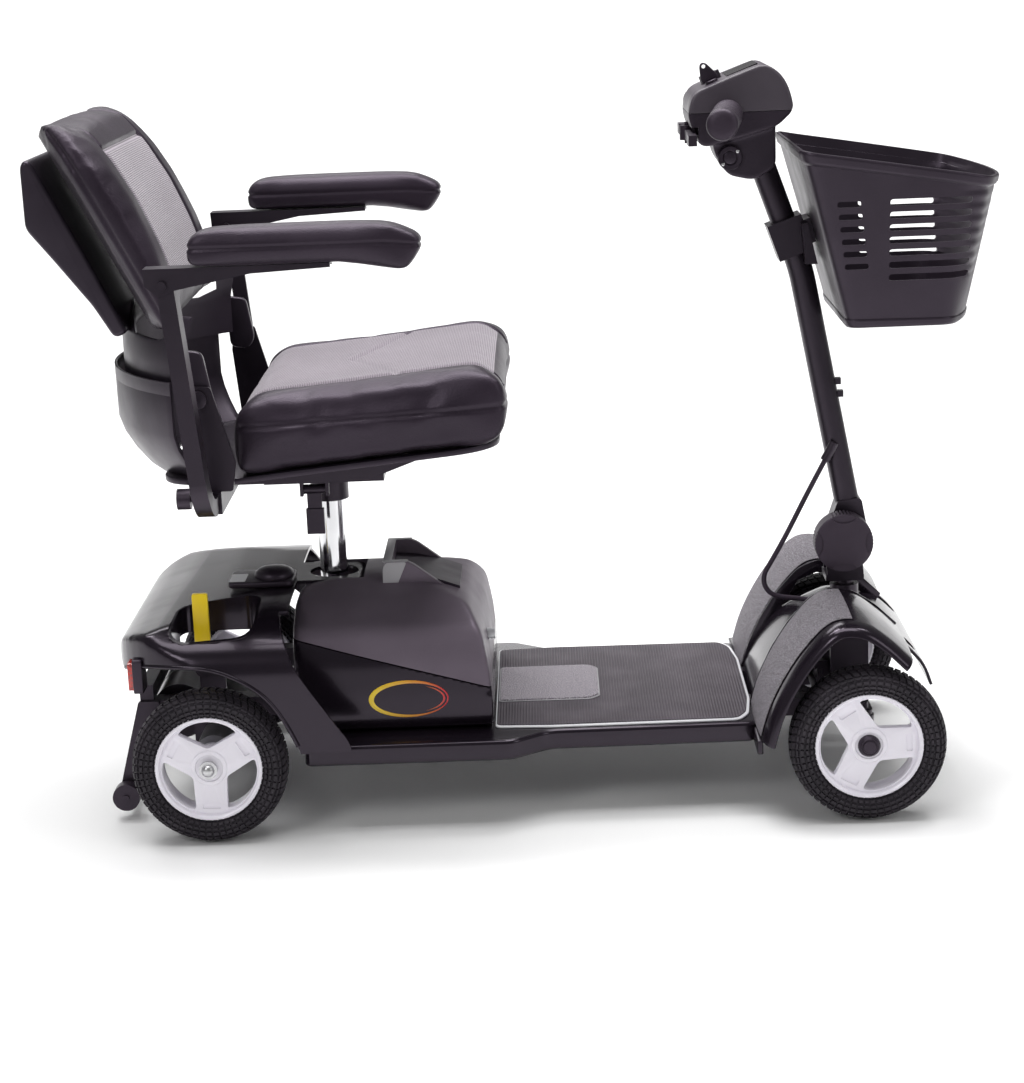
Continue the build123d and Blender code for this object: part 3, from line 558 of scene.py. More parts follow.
def swept(name, points, **settings):
    """Mesh of a smooth curve through the control points given."""
    curve = bpy.data.curves.new(name, "CURVE")
    curve.dimensions = "3D"
    for key, value in settings.items():
        setattr(curve, key, value)
    spline = curve.splines.new("NURBS")
    spline.points.add(len(points) - 1)
    for knot, point in zip(spline.points, points):
        knot.co = (*(Vector(point) * MM), 1)
    spline.order_u = 3
    spline.use_endpoint_u = True
    spline.resolution_u = 12
    holder = bpy.data.objects.new(name + "_line", curve)
    bpy.context.scene.collection.objects.link(holder)
    bpy.context.view_layer.update()
    mesh = bpy.data.meshes.new_from_object(holder.evaluated_get(bpy.context.evaluated_depsgraph_get()))
    bpy.data.objects.remove(holder, do_unlink=True)
    return mesh


def tube(name, points, dia, sides=3):
    """Round tube along a smooth curve."""
    mesh = swept(name, points, bevel_depth=dia / 2 * MM, bevel_resolution=sides, use_fill_caps=True)
    piece = bpy.data.objects.new(name, mesh)
    bpy.context.scene.collection.objects.link(piece)
    mesh.materials.clear()
    edit(piece, ("remove_doubles", {"threshold": 0.000001}), OUTWARD)
    return piece


# ------------------------------------------------------------------ tiller cable

cable_route = [
    (372, -18, 400), (350, -19, 360), (322, -20, 305), (303, -20, 272), (292.7, -20, 255), (294.2, -20, 238),
    (306.2, -20, 226), (338, -19, 222), (376, -18, 215),
]
cable_line = [tuple(vertex.co) for vertex in swept("route", cable_route).vertices]
cable = tube("cable_to_tiller", cable_route, 6.5, sides=4)
cable.data.materials.append(finishes["grip_rubber"])
alone(cable)
bpy.ops.object.shade_smooth_by_angle(angle=radians(50))
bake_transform(cable)
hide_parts("tiller_cable")

# ------------------------------------------------------------------ wheels

AXLES = {"rear": -397.5, "front": 397.5}
WHEEL_Y = 215
AXLE_Z = 95


def tyre(name, x, y):
    profile = [(65.9, -17), (68, -21), (73, -23.2), (78, -23.9), (84, -23), (87.6, -20.5)]
    profile += [(91.2, -13), (92.3, -4.5), (92.3, 4.5), (91.2, 13), (87.6, 20.5)]
    profile += [(84, 23), (78, 23.9), (73, 23.2), (68, 21), (65.9, 17)]
    piece = turned(name, profile, (x, y, AXLE_Z), "y", 60)
    for vertex in piece.data.vertices:
        place = vertex.co / MM - Vector((x, y, AXLE_Z))
        radius = hypot(place.x, place.z)
        if radius > 86:
            turn = radians(5) * (1 - abs(place.y) / 20.5)
            place.x, place.z = (
                place.x * cos(turn) - place.z * sin(turn),
                place.x * sin(turn) + place.z * cos(turn),
            )
            vertex.co = (place + Vector((x, y, AXLE_Z))) * MM
    for face in piece.data.polygons:
        place = face.center / MM - Vector((x, y, AXLE_Z))
        face.select = hypot(place.x, place.z) > 88.5
    alone(piece)
    bpy.ops.object.mode_set(mode="EDIT")
    bpy.ops.mesh.select_mode(type="FACE")
    bpy.ops.mesh.inset(thickness=0.0009, depth=0, use_individual=True)
    bpy.ops.mesh.inset(thickness=0.0003, depth=0.0026, use_individual=True)
    bpy.ops.mesh.select_mode(type="VERT")
    bpy.ops.object.mode_set(mode="OBJECT")
    return piece


def rim(name, x, y, turn):
    """Barrel with rolled lips, three broad spokes with windows between, and a hub."""
    out = 1 if y > 0 else -1
    lip = [(65.75, -20), (65.75, 20), (64.6, 21.6), (62.6, 21.8), (60.6, 20.4), (59.6, 17), (58.8, 10)]
    lip += [(58.8, -10), (59.6, -17), (60.6, -20.4), (62.6, -21.8), (64.6, -21.6)]
    barrel = turned(name, lip, (x, y, AXLE_Z), "y", 64)
    low, high = sorted((y + out * 4, y + out * 15.5))
    disc = [(59.4, low - y), (59.4, high - y), (0, high - y + out * 0.5), (0, low - y)]
    spokes = turned("spokes", disc, (x, y, AXLE_Z), "y", 64)
    cutters = []
    for i in range(3):
        middle = radians(120 * i + 90 + turn)
        window = [(0, 23.5), (40.5, 56.4), (27, 58.2), (13, 58.4), (0, 58.4)]
        window += [(-spread, radius) for spread, radius in window[-2:0:-1]]
        opening = [
            (x + r * cos(middle + radians(s)), AXLE_Z + r * sin(middle + radians(s))) for s, r in window
        ]
        cutters.append(plate("window", eased(opening, 5, 3), "side", low - 3, high + 3))
        pocket = middle + radians(60)
        across, outward = Vector((-sin(pocket), cos(pocket))), Vector((cos(pocket), sin(pocket)))
        hollow = []
        for a, b in ((-11, 44.5), (11, 44.5), (11, 52.5), (-11, 52.5)):
            spot = across * a + outward * b
            hollow.append((x + spot.x, AXLE_Z + spot.y))
        face = high if out > 0 else low
        cutters.append(plate("pocket", eased(hollow, 2, 2), "side", face - 1.6, face + 2))
    less(spokes, *cutters)
    bevelled(spokes, 0.8, 2, 40)
    hub = [
        (7.6, -21), (20, -21), (20, -14), (16, -12), (16, 8), (22, 12), (22.5, 15.5), (21, 17.5), (17, 18),
        (16.2, 16.6), (7.6, 16.6),
    ]
    boss = turned("hub", [(r, a * out) for r, a in hub], (x, y, AXLE_Z), "y", 48)
    return joined(barrel, spokes, boss)


for end, x in AXLES.items():
    for hand, y in (("right", -WHEEL_Y), ("left", WHEEL_Y)):
        body = f"{end}_wheel_{hand}"
        fitted(
            tyre(f"tyre_{end}_{hand}", x, y), body, "tyre_rubber", replaces=[f"{end}_tyre_{hand}"], smooth=32
        )
        turn = -28 if end == "front" else 0
        fitted(rim(f"rim_{end}_{hand}", x, y, turn), body, "white_rim", replaces=[f"{end}_rim_{hand}"])
        out = 1 if y > 0 else -1
        if end == "rear":
            dome = [
                (0, 21.5), (11, 21.5), (11, 25.4), (10, 26.4), (8, 26.6), (7.4, 29.5), (4.6, 32.2), (0, 32.9)
            ]
            nut = turned(f"hub_nut_{hand}", [(r, out * a * 0.99) for r, a in dome], (x, y, AXLE_Z), "y", 24)
            fitted(nut, body, "zinc_steel")
        else:
            cap = [
                (0, 16.7), (13.5, 16.7), (13.5, 19.5), (12.4, 22), (10.2, 24.2), (9.8, 23.4), (8.4, 23.4),
                (7.6, 25.2), (0, 25.8),
            ]
            piece = turned(f"hub_cap_{hand}", [(r, out * a) for r, a in cap], (x, y, AXLE_Z), "y", 32)
            fitted(piece, body, "matte_black")

# ------------------------------------------------------------------ plain metal and moulded nodes

NODE_FINISH = {
    "bright_steel": ["seat_post", "headset_rings"],
    "zinc_steel": ["half_shaft_right", "half_shaft_left"],
    "alloy": ["transaxle_housing"],
    "frame_black": [
        "rear_frame", "front_frame", "drive_motor", "steering_column", "knuckle_right", "knuckle_left", "tie_rod",
        "tiller_tube", "basket_bracket", "seat_frame", "arm_bar_right", "arm_bar_left",
        "armrest_bracket_right", "armrest_bracket_left",
    ],
    "matte_black": [
        "anti_tip_wheels", "battery_cells", "charger_socket", "swivel_lever", "speed_dial", "arm_knobs",
        "throttle_lever",
    ],
    "gloss_black": ["gauge_panel"],
    "red_lens": ["horn_button"],
    "yellow": ["freewheel_lever"],
    "clear_button": ["breaker_button"],
}
for finish, names in NODE_FINISH.items():
    for name in names:
        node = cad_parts[name]
        if len(node.material_slots) == 0:
            node.data.materials.append(finishes[finish])
        for holder in node.material_slots:
            holder.material = finishes[finish]

# ------------------------------------------------------------------ rear cover

COVER_SIDE = [(-478, 106), (-502, 190), (-513.6, 214), (-509, 238), (-488, 251), (-448, 262), (-386, 272)]
COVER_SIDE += [(-330, 276), (-215, 276), (-215, 106)]
ARCH = [
    (-560, 196), (-500, 205), (-480, 213), (-463, 218), (-422, 221.5), (-386, 218), (-352, 204), (-323, 182)
]
ARCH += [(-301, 150), (-287, 120), (-277, 90), (-560, 90)]


COVER_REAR, COVER_HALF = -513.6, 239.8


def cover_plan():
    rear, half, corner = COVER_REAR, COVER_HALF, 130
    points = [(-200, -half)]
    for k in range(13):
        angle = radians(90 + 90 * k / 12)
        points.append((rear + corner + corner * cos(angle), -half + corner - corner * sin(angle)))
    return mirrored(points, 1, -1)


def cover_end():
    points = [(-COVER_HALF, 100), (-COVER_HALF, 212)]
    for k in range(1, 9):
        angle = pi / 2 * k / 8
        points.append((-COVER_HALF + 125 * (1 - cos(angle)), 212 + 64 * sin(angle)))
    return mirrored(points)


def cover_hood():
    solid = plate("rear_shroud", eased(COVER_SIDE, 12, 5), "side", -245, 245)
    shared(solid, plate("plan", cover_plan(), "plan", 90, 300), plate("ends", cover_end(), "end", -540, -190))
    return softened(solid, 4, 10)


def rear_cover():
    shell = cover_hood()
    outside = surface_of(shell)
    core = cover_hood()
    for vertex in core.data.vertices:
        x, y, z = vertex.co / MM
        vertex.co = Vector((-510 + (x - COVER_REAR) * 1.02, y * 0.9856, 98 + (z - 106) * 174 / 170)) * MM
    less(shell, core)
    front = [
        (-316, 290), (-302, 251), (-288, 219), (-268, 187), (-242, 148), (-224, 122), (-222, 90), (-150, 90),
        (-150, 290),
    ]
    less(
        shell,
        plate("front_cut", eased(front, 10, 4), "side", -260, -167),
        plate("front_cut", eased(front, 10, 4), "side", 167, 260),
        plate("arch", eased(ARCH, 14, 4), "side", -300, 300),
        block("under", "plan", (-300, -190), (-260, 260), 90, 111),
        block("bay", "plan", (-298, -190), (-167.5, 167.5), 90, 270.8),
        block("bay_side", "plan", (-298, -190), (-167.5, -46), 90, 310),
        block("bay_side", "plan", (-298, -190), (46, 167.5), 90, 310),
        block("tongue_end", "plan", (-218, -190), (-80, 80), 90, 310),
    )
    recess = eased([(-440, -221), (-334, -214), (-334, -104), (-440, -104)], 28, 7)
    less(
        shell,
        rod("post_hole", 31, 200, 300, (-254, 0, 0), "z", 48),
        plate("recess", recess, "plan", 200, 300),
    )
    bevelled(shell, 0.9, 2, 50)
    for out in (-1, 1):
        lip = []
        for k in range(34):
            x, z = at(ARCH[1:10], k / 33)
            hit = outside.ray_cast(Vector((x, out * 400, z + 1.5)) * MM, Vector((0, -out, 0)))
            if hit[0] is not None:
                lip.append((x, hit[0].y / MM - out * 0.4, z + 1.5))
        joined(shell, tube("arch_lip", lip, 5.4))
    well = plate("recess_lip", recess, "plan", 232, 262)
    less(
        well,
        plate(
            "inner", [(-387 + (x + 387) * 0.945, -161 + (y + 161) * 0.95) for x, y in recess], "plan", 220,
            290,
        ),
    )
    for vertex in well.data.vertices:
        if vertex.co.z > 0.25:
            hit = outside.ray_cast(Vector((vertex.co.x, vertex.co.y, 0.4)), Vector((0, 0, -1)))
            vertex.co.z = (hit[0].z if hit[0] is not None else 0.25) + 0.0006
    return joined(shell, well)


fitted(rear_cover(), "chassis", "gloss_black", replaces=["rear_cover"])
for out, hand in ((-1, "right"), (1, "left")):
    low, high = sorted((out * 174, out * 206))
    holder = plate(
        f"reflector_holder_{hand}", eased(corners((low, high), (183, 226)), 4), "end", -486, -474, 1.5
    )
    fitted(holder, "chassis", "matte_black")

# ------------------------------------------------------------------ battery box

BATTERY_SIDE = [
    (-296.6, 110.5), (-296.6, 262), (-285, 272), (-234, 280.6), (-195, 280.6), (-119, 270), (-82, 257)
]
BATTERY_SIDE += [(-64, 229), (-57, 189), (-53.4, 150), (-53.4, 110.5)]
BATTERY_END = [(-165.6, 110.5), (-165.6, 150), (-161, 205), (-150, 235), (-100, 262), (-40, 280.6)]
BATTERY_END = mirrored(BATTERY_END)
SEAM = [(-330, 238.7), (-20, 153.3)]


def battery_half(name, upper):
    piece = plate(name, eased(BATTERY_SIDE, 9, 4), "side", -200, 200)
    shared(piece, plate("ends", eased(BATTERY_END, 16, 5), "end", -320, -20))
    softened(piece, 3, 14)
    if upper:
        band = [(x, z + 0.8) for x, z in SEAM] + [(-20, 400), (-330, 400)]
    else:
        band = [(x, z - 0.8) for x, z in SEAM] + [(-20, 90), (-330, 90)]
    shared(piece, plate("band", band, "side", -220, 220))
    less(
        piece,
        block("post_bay", "plan", (-330, -213), (-47, 47), 90, 320),
        block("cross_bay", "plan", (-330, -226), (-119.6, 119.6), 90, 149.2),
        block("cell_room", "plan", (-205, -72), (-90, 90), 113, 210),
    )
    if upper:
        less(
            piece,
            rod("breaker_hole", 7.5, -80, -40, (0, -60, 202), "x", 24),
        )
    return bevelled(piece, 1.1, 2, 40)


fitted(battery_half("battery_lid_shell", True), "battery", "textured_grey", replaces=["battery_lid"])
fitted(battery_half("battery_tub", False), "battery", "gloss_black", replaces=["battery_lower_case"])


def scoop_grip():
    """Hooded handle on the lid, open to the front and above."""
    side = [(-189, 243), (-188, 293), (-183, 300), (-158, 300), (-149, 296), (-84, 246)]
    grip = plate("scoop_grip", eased(side, 5, 4), "side", -62, 62)
    bevelled(grip, 3, 3, 40)
    less(grip, plate("hand_room", [(-177, 236), (-177, 320), (-60, 320), (-60, 236)], "side", -53, 53))
    block = plate("under", eased(BATTERY_SIDE, 9, 4), "side", -200, 200)
    shared(block, plate("ends", eased(BATTERY_END, 16, 5), "end", -320, -20))
    for vertex in block.data.vertices:
        vertex.co.z -= 0.0015
    less(grip, block)
    return bevelled(grip, 1.0, 2, 45)


fitted(scoop_grip(), "battery", "textured_grey", replaces=["battery_grip"])
# A black sheet laid just over the lid inside the grip: painted shade for the dark inside of the hand room.
shade_sheet = [(-177.5, 255), (-177.5, 283.5), (-150, 281), (-118, 273.5), (-92, 264), (-92, 255)]
fitted(plate("scoop_painted_shade", shade_sheet, "side", -53.5, 53.5), "battery", "matte_black")
# The light-grey band over the grip's top and down its flanks is a painted highlight: it stands in for the light
# caught on the grip's bevelled rim.
highlight_rim_plan = [
    (-187.5, -61.5), (-156, -61.5), (-156, -53.5), (-176.5, -53.5), (-176.5, 53.5), (-156, 53.5),
    (-156, 61.5), (-187.5, 61.5),
]
band = plate("grip_painted_highlight", eased(highlight_rim_plan, 2, 2), "plan", 299.4, 300.8, 0.4, 2)
painted_highlight_flank = [(-188.4, 264), (-187.6, 293), (-183, 299.6), (-157, 299.6), (-172, 266)]
for low, high in ((-62.9, -61.8), (61.8, 62.9)):
    joined(band, plate("painted_highlight_flank", eased(painted_highlight_flank, 4, 3), "side", low, high, 0.3, 1))
fitted(band, "battery", "light_grey")


def side_spot(x, z):
    """Point on the battery box's right side at one x and height."""
    if z < 150:
        y = -165.6
    elif z < 205:
        y = -165.6 + 4.6 * (z - 150) / 55
    else:
        y = -161 + 11 * (z - 205) / 30
    return (x, y, z)


def badge():
    """Plain oval ring with a second bow inside its front end."""
    middle = (-155.5, 152.5)

    def ring(u, v):
        angle = 2 * pi * u
        wide = 1 if v in (0, 1) else 1.06
        swell = 4.0 - 2.4 * cos(angle + 0.25)
        reach = (v - 0.5) * swell
        x = middle[0] + (47 + reach) * cos(angle)
        z = middle[1] + (21.5 + reach * 0.85) * sin(angle)
        place = side_spot(x, z)
        return (x, place[1] - 0.35 - 0.25 * sin(pi * v), z)

    def bow(u, v):
        angle = radians(-62 + 124 * u)
        reach = (v - 0.5) * 2.4 * sin(pi * u)
        x, z = middle[0] + (42.5 + reach) * cos(angle), middle[1] + (17.5 + reach) * sin(angle)
        return (x, side_spot(x, z)[1] - 0.5, z)

    piece = thickened(skin("badge_oval", 72, 4, ring), 0.5, 1)
    return joined(piece, thickened(skin("badge_bow", 30, 2, bow), 0.3, 1))


fitted(badge(), "battery", "badge_ring", smooth=60)

# ------------------------------------------------------------------ deck, fenders and nose

DECK_PLAN = mirrored([(-284.6, -211.6), (-30, -211.6), (15, -177.2), (267.6, -173.2)], 1, -1)


def deck_tray():
    tray = plate("deck_tray", eased(DECK_PLAN, 12, 5), "plan", 84.2, 110)
    bevelled(tray, 5, 5, 40)
    inner = [(x + (3 if x < 0 else -3), y * 0.982) for x, y in DECK_PLAN]
    less(
        tray,
        plate("hollow", eased(inner, 10, 4), "plan", 80, 106.4),
        block("post_room", "plan", (-280, -228), (-80, 80), 80, 112),
    )
    return tray


fitted(deck_tray(), "chassis", "gloss_black", replaces=["floor_pan"])
mat_plan = mirrored([(-50, -160), (20, -165), (246, -162), (258, -140), (264, -84)], 1, -1)
# The white strip round the mat is a painted highlight: it stands in for the light reflected along the deck tray's
# raised rim.
painted_rim_highlight = [(x + (3.5 if x > 100 else -2), y * 1.028) for x, y in mat_plan]
fitted(
    plate("mat_painted_rim_highlight", eased(painted_rim_highlight, 9), "plan", 110, 112.6, 1.0), "chassis", "label_white",
)
fitted(
    plate("ribbed_mat", eased(mat_plan, 8), "plan", 110.2, 113.9, 0.6), "chassis", "mat_rubber",
    replaces=["deck_mat"],
)
pad_plan = [(-47, -70), (66, -70), (78, -58), (78, 58), (66, 70), (-47, 70)]
fitted(
    plate("foot_pad", eased(pad_plan, 5), "plan", 114, 116.9, 0.8), "chassis", "grit_pad",
    replaces=["deck_center_pad"],
)
pad_edge = [(x * 1.03 - 0.5, y * 1.035) for x, y in pad_plan]
fitted(plate("foot_pad_edge", eased(pad_edge, 5), "plan", 113.8, 115.2, 0.5), "chassis", "light_grey")

FENDER = [
    (268, 101), (279, 138), (296, 174), (318, 208), (346, 239), (370, 249), (400, 244), (428, 225), (454, 200)
]
# Where a fender starts across the scooter, its width, and the share where its edge rolls over.
FENDER_IN, FENDER_WIDE, ROLL = 70, 169.5, 0.86
NOSE = [
    (268, 101), (280, 132), (294, 157), (312, 180), (330, 194), (352, 202), (400, 203), (440, 202),
    (478, 168), (492, 136),
]


def fender(name, out):
    """Arched sheet over a front wheel, with a rolled outer edge."""

    def shape(u, v):
        x, z = at(FENDER, u)
        ahead, behind = at(FENDER, min(u + 0.01, 1)), at(FENDER, max(u - 0.01, 0))
        along = Vector((ahead[0] - behind[0], ahead[1] - behind[1])).normalized()
        y = FENDER_IN + v * FENDER_WIDE
        drop = 0
        if v > ROLL:
            turn = (v - ROLL) / (1 - ROLL) * pi / 2
            y = FENDER_IN + ROLL * FENDER_WIDE + 24 * sin(turn)
            drop = 14 * (1 - cos(turn))
        y = min(y, 239.4)
        crown = -2.5 * (2 * min(v / ROLL, 1) - 1) ** 2
        return (x + (drop - crown) * along.y, out * y, z - (drop - crown) * along.x)

    sheet = facing(skin(name, 44, 26, shape), -0.5, 0, 1)
    thickened(sheet, 3.4, -1)
    return bevelled(sheet, 1.0, 2, 50)


def fender_strip(name, out):
    def shape(u, v):
        share = 0.02 + 0.67 * u
        x, z = at(FENDER, share)
        ahead, behind = at(FENDER, share + 0.01), at(FENDER, max(share - 0.01, 0))
        along = Vector((ahead[0] - behind[0], ahead[1] - behind[1])).normalized()
        v = 0.04 + 0.79 * v
        crown = -2.5 * (2 * v / ROLL - 1) ** 2 + 0.9
        return (x - crown * along.y, out * (FENDER_IN + v * FENDER_WIDE), z + crown * along.x)

    sheet = facing(skin(name, 36, 14, shape), -0.5, 0, 1)
    return thickened(sheet, 0.8, 1)


for hand, out in (("right", -1), ("left", 1)):
    arch = fender(f"front_fender_{hand}", out)
    wall_line = eased(FENDER, 8, 3, closed=False) + [
        (446, 188), (400, 226), (370, 232), (346, 222), (330, 196), (300, 150), (282, 101)
    ]
    low, high = sorted((out * 68.4, out * 72))
    joined(arch, plate("inner_wall", wall_line, "side", low, high, 0.8, 2))
    fitted(arch, "chassis", "gloss_black", replaces=["floor_pan"])
    fitted(fender_strip(f"fender_grip_{hand}", out), "chassis", "fender_grit")


def nose():
    def shape(u, v):
        x, z = at(NOSE, u)
        half = 70 if x < 345 else 70 + 48 * min(1, (x - 345) / 40)
        crown = 3 * (1 - (2 * v - 1) ** 2) * sin(pi * min(1, u * 1.2))
        return (x, (2 * v - 1) * half, z - 3 + crown)

    piece = facing(skin("nose_bridge", 54, 24, shape), -0.5, 0, 1)
    thickened(piece, 3.6, -1)
    less(piece, rod("neck_hole", 25, 150, 260, (397.5, 0, 0), "z", 48))
    for low, high in ((-104, -70), (70, 104)):
        less(
            piece,
            plate(
                "slot", eased([(432, low), (474, low + 6), (474, high - 6), (432, high)], 9), "plan", 140, 240
            ),
        )
    return bevelled(piece, 0.9, 2, 45)


fitted(nose(), "chassis", "gloss_black", replaces=["floor_pan"])
sill = plate("fender_sill", eased(corners((264.6, 271.8), (-222, 222)), 2, 2), "plan", 84.4, 102, 1.2)
fitted(sill, "chassis", "gloss_black", replaces=["floor_pan"])

# ------------------------------------------------------------------ rear fittings

for out, hand in ((-1, "right"), (1, "left")):
    y0, y1 = sorted((out * 177.4, out * 202.6))
    piece = plate(
        f"rear_lens_{hand}", eased(corners((y0, y1), (186.4, 221.3)), 3, 3), "end", -492.2, -481, 1.2
    )
    fitted(piece, "chassis", "red_lens", replaces=["rear_reflectors"])

console = plate(
    "latch_console_body", eased(corners((-382, -300), (-78, -12)), 12, 5), "plan", 276.2, 284, 2.5
)
fitted(console, "chassis", "matte_black", replaces=["latch_console"])
dome = [(0, 283.6), (25, 283.6), (25, 286.5), (23.4, 290.5), (18, 294), (10, 296), (0, 296.6)]
fitted(turned("latch_knob", dome, (-326, -45, 0), "z", 40), "chassis", "matte_black")
label = plate("blank_label", eased(corners((-380, -360), (-72, -34)), 2, 2), "plan", 283.9, 284.4, 0.2, 1)
fitted(label, "chassis", "label_white")

slot_line = eased(corners((-9.5, 9.5), (0, 92)), 2.5, 3)
handle = plate(
    "freewheel_handle", [(-403.2 + a, 205 + b) for a, b in slot_line], "side", -173.5, -166.5, 1.2, 2
)
hub = turned("freewheel_hub", corners((5.1, 11), (-178, -160)), (-403, 0, 204), "y", 32)
less(handle, rod("bore", 5.1, -190, -150, (-403, 0, 204), "y", 32))
fitted(handle, "freewheel_arm", "yellow", replaces=["freewheel_lever"])
fitted(hub, "freewheel_arm", "matte_black")

# ------------------------------------------------------------------ steering head

HEAD = [
    (206, 839), (214, 864), (240, 874.5), (274, 887), (300, 896), (318, 884), (328, 868), (335, 840),
    (313, 820),
]
HEAD += [(268, 808), (224, 798), (214, 812)]
NECK = [(240, 786), (256, 762), (288, 755), (314, 771), (314, 832), (232, 832)]


# Heights between which the throttle lever swings.
LEVER_LOW, LEVER_HIGH = 804.5, 823


def head_parts(shrink=0, head_share=(1, 1), neck_share=(1, 1)):
    """Blocks of the head and its neck, or the rooms inside them when shrunk."""
    made = []
    for line, reach, half, (x0, z0), (wide, tall) in (
        (HEAD, 10, 63.6, (268, 846), head_share), (NECK, 9, 39.6, (276, 796), neck_share),
    ):
        side = eased(line, reach, 4)
        if shrink:
            side = [(x0 + (x - x0) * wide, z0 + (z - z0) * tall) for x, z in side]
        made.append(plate("head_block", side, "side", shrink - half, half - shrink))
    return made


def head_shell(name, low, high):
    shell = softened(united(*head_parts()), 1.8, 16)
    less(shell, *head_parts(3.5, (0.94, 0.91), (0.9, 0.88)))
    less(shell, block("throat", "end", (-36, 36), (790, 850), 240, 308))
    shared(shell, block("band", "side", (150, 400), (low, high), -100, 100))
    bore = rod("bar_room", 12, -90, 90, (258, 0, 837), "y", 32)
    lever_room = [
        (190, -75), (219, -75), (219, -24), (214.5, -12), (214.5, 12), (219, 24), (219, 75), (190, 75)
    ]
    less(shell, bore, plate("lever_room", lever_room, "plan", LEVER_LOW, LEVER_HIGH))
    shell.name = name
    return bevelled(shell, 0.8, 2, 45)


fitted(head_shell("head_lower", 700, 839.2), "tiller", "matte_black", replaces=["head_lower_shell"])
upper = head_shell("head_upper", 839.9, 950)
panel_origin = Vector((257, 0, 880))
panel_run = Vector((86, 0, 32)).normalized()
panel_up = Vector((-32, 0, 86)).normalized()


def on_panel(u, v, w=0):
    return panel_origin + panel_run * u + Vector((0, v, 0)) + panel_up * w


for (u, v), dia in (((-18, 0), 7), ((-20, -36), 9), ((-20, 36), 15)):
    less(upper, rod("hole", dia / 2, -14, 14, on_panel(u, v), tuple(panel_up), 24))
fitted(upper, "tiller", "head_grey", replaces=["head_upper_shell"])

stem = turned(
    "key_and_fob", [(0, -8), (4, -8), (4, 0.3), (8, 0.3), (8, 3.6), (7, 4.4), (0, 4.4)], on_panel(-20, -36),
    tuple(panel_up), 24,
)
fob = []
for u, w in ((-10, 3), (10, 3), (10.5, 9), (7, 18), (4.5, 25), (0, 28), (-4.5, 25), (-7, 18), (-10.5, 9)):
    spot = on_panel(u - 20 - 0.1 * w, 0, w)
    fob.append((spot.x, spot.z))
eye = on_panel(-22.3, 0, 22.5)
fob = plate("fob", eased(fob, 4, 3), "side", -38.4, -33.6, 1.2, 3)
less(fob, rod("eye", 2.3, -50, -20, (eye.x, 0, eye.z), "y", 24))
fitted(joined(stem, fob), "key", "matte_black", replaces=["ignition_key"])

for out, hand in ((-1, "right"), (1, "left")):
    slope = Vector((-26 / 218 * out, 1, 0)).normalized() * out
    start = Vector((262, 0, 837)) + slope * 72
    profile = [(11.1, 0), (17.4, 0), (18.5, 1.4), (18.5, 6)]
    for k in range(9):
        a = 14 + k * 13.5
        profile += [(18.5, a), (17.3, a + 1.2), (17.3, a + 3.4), (18.5, a + 4.6)]
    profile += [(18.5, 146), (17.6, 150), (15, 152.6), (9, 153.8), (0, 154), (0, 150.6), (11.1, 150.4)]
    grip = turned(f"hand_grip_{hand}", profile, start, tuple(slope), 40)
    fitted(grip, "tiller", "grip_rubber", replaces=["hand_grips"])

socket = [(8, -40), (15, -40), (15, -44.6), (13.6, -46), (9.4, -46), (8.2, -45), (8, -42)]
piece = turned("charger_port", socket, (258, 0, 784), "y", 40)
cover = turned(
    "port_cap", [(0, -42), (7.8, -42), (7.8, -44.4), (6, -45.2), (0, -45.4)], (258, 0, 784), "y", 32
)
fitted(joined(piece, cover), "tiller", "matte_black", replaces=["charger_socket"])
for k, angle in enumerate((40, 220)):
    x, z = 258 + 11.6 * cos(radians(angle)), 784 + 11.6 * sin(radians(angle))
    screw = turned(
        f"port_screw_{k}", [(0, -45.4), (2, -45.4), (2, -46.6), (1.2, -47.1), (0, -47.2)], (x, 0, z), "y", 16
    )
    fitted(screw, "tiller", "zinc_steel")

# ------------------------------------------------------------------ tilt knob


KNOB = Vector((392, 0, 300))


def tilt_knob():
    """Round knob with four ribbed zones, and a smooth domed face between them."""
    edge = [(0, -24.2), (35.6, -24.2), (36.8, -25.4), (36.8, -49), (35.4, -50.4), (0, -50.4)]
    knob = turned("tilt_knob_body", edge, KNOB, "y", 96)
    dome = turned(
        "dome", [(0, -46), (36.2, -46), (36.2, -50.6), (33, -52.2), (22, -53.4), (0, -53.6)], KNOB, "y", 96
    )
    teeth = []
    for k in range(4):
        run = Vector((cos(pi / 2 * k), sin(pi / 2 * k)))
        across = Vector((-run.y, run.x))
        centre = (KNOB.x + 49.5 * run.x, 0, KNOB.z + 49.5 * run.y)
        less(dome, rod("bite", 23.5, -60, -50.6, centre, "y", 48))
        for j in range(-3, 4):
            for inner, low, high in ((33.8, -60, -20), (25.5, -60, -48.6)):
                spots = [
                    run * a + across * (j * 4.4 + s) for a, s in ((inner, -1), (42, -1), (42, 1), (inner, 1))
                ]
                teeth.append(plate("tooth", [(KNOB.x + p.x, KNOB.z + p.y) for p in spots], "side", low, high))
    less(knob, *teeth)
    return joined(bevelled(knob, 0.35, 1, 50), dome)


knob = tilt_knob()
stud = turned(
    "stud", [(0, -30), (4.95, -30), (4.95, 24), (12, 24), (12, 31), (10.5, 32.8), (0, 32.8)], KNOB, "y", 32
)
fitted(joined(knob, stud), "tilt_knob", "knob_grey", replaces=["tilt_knob"])

# ------------------------------------------------------------------ basket


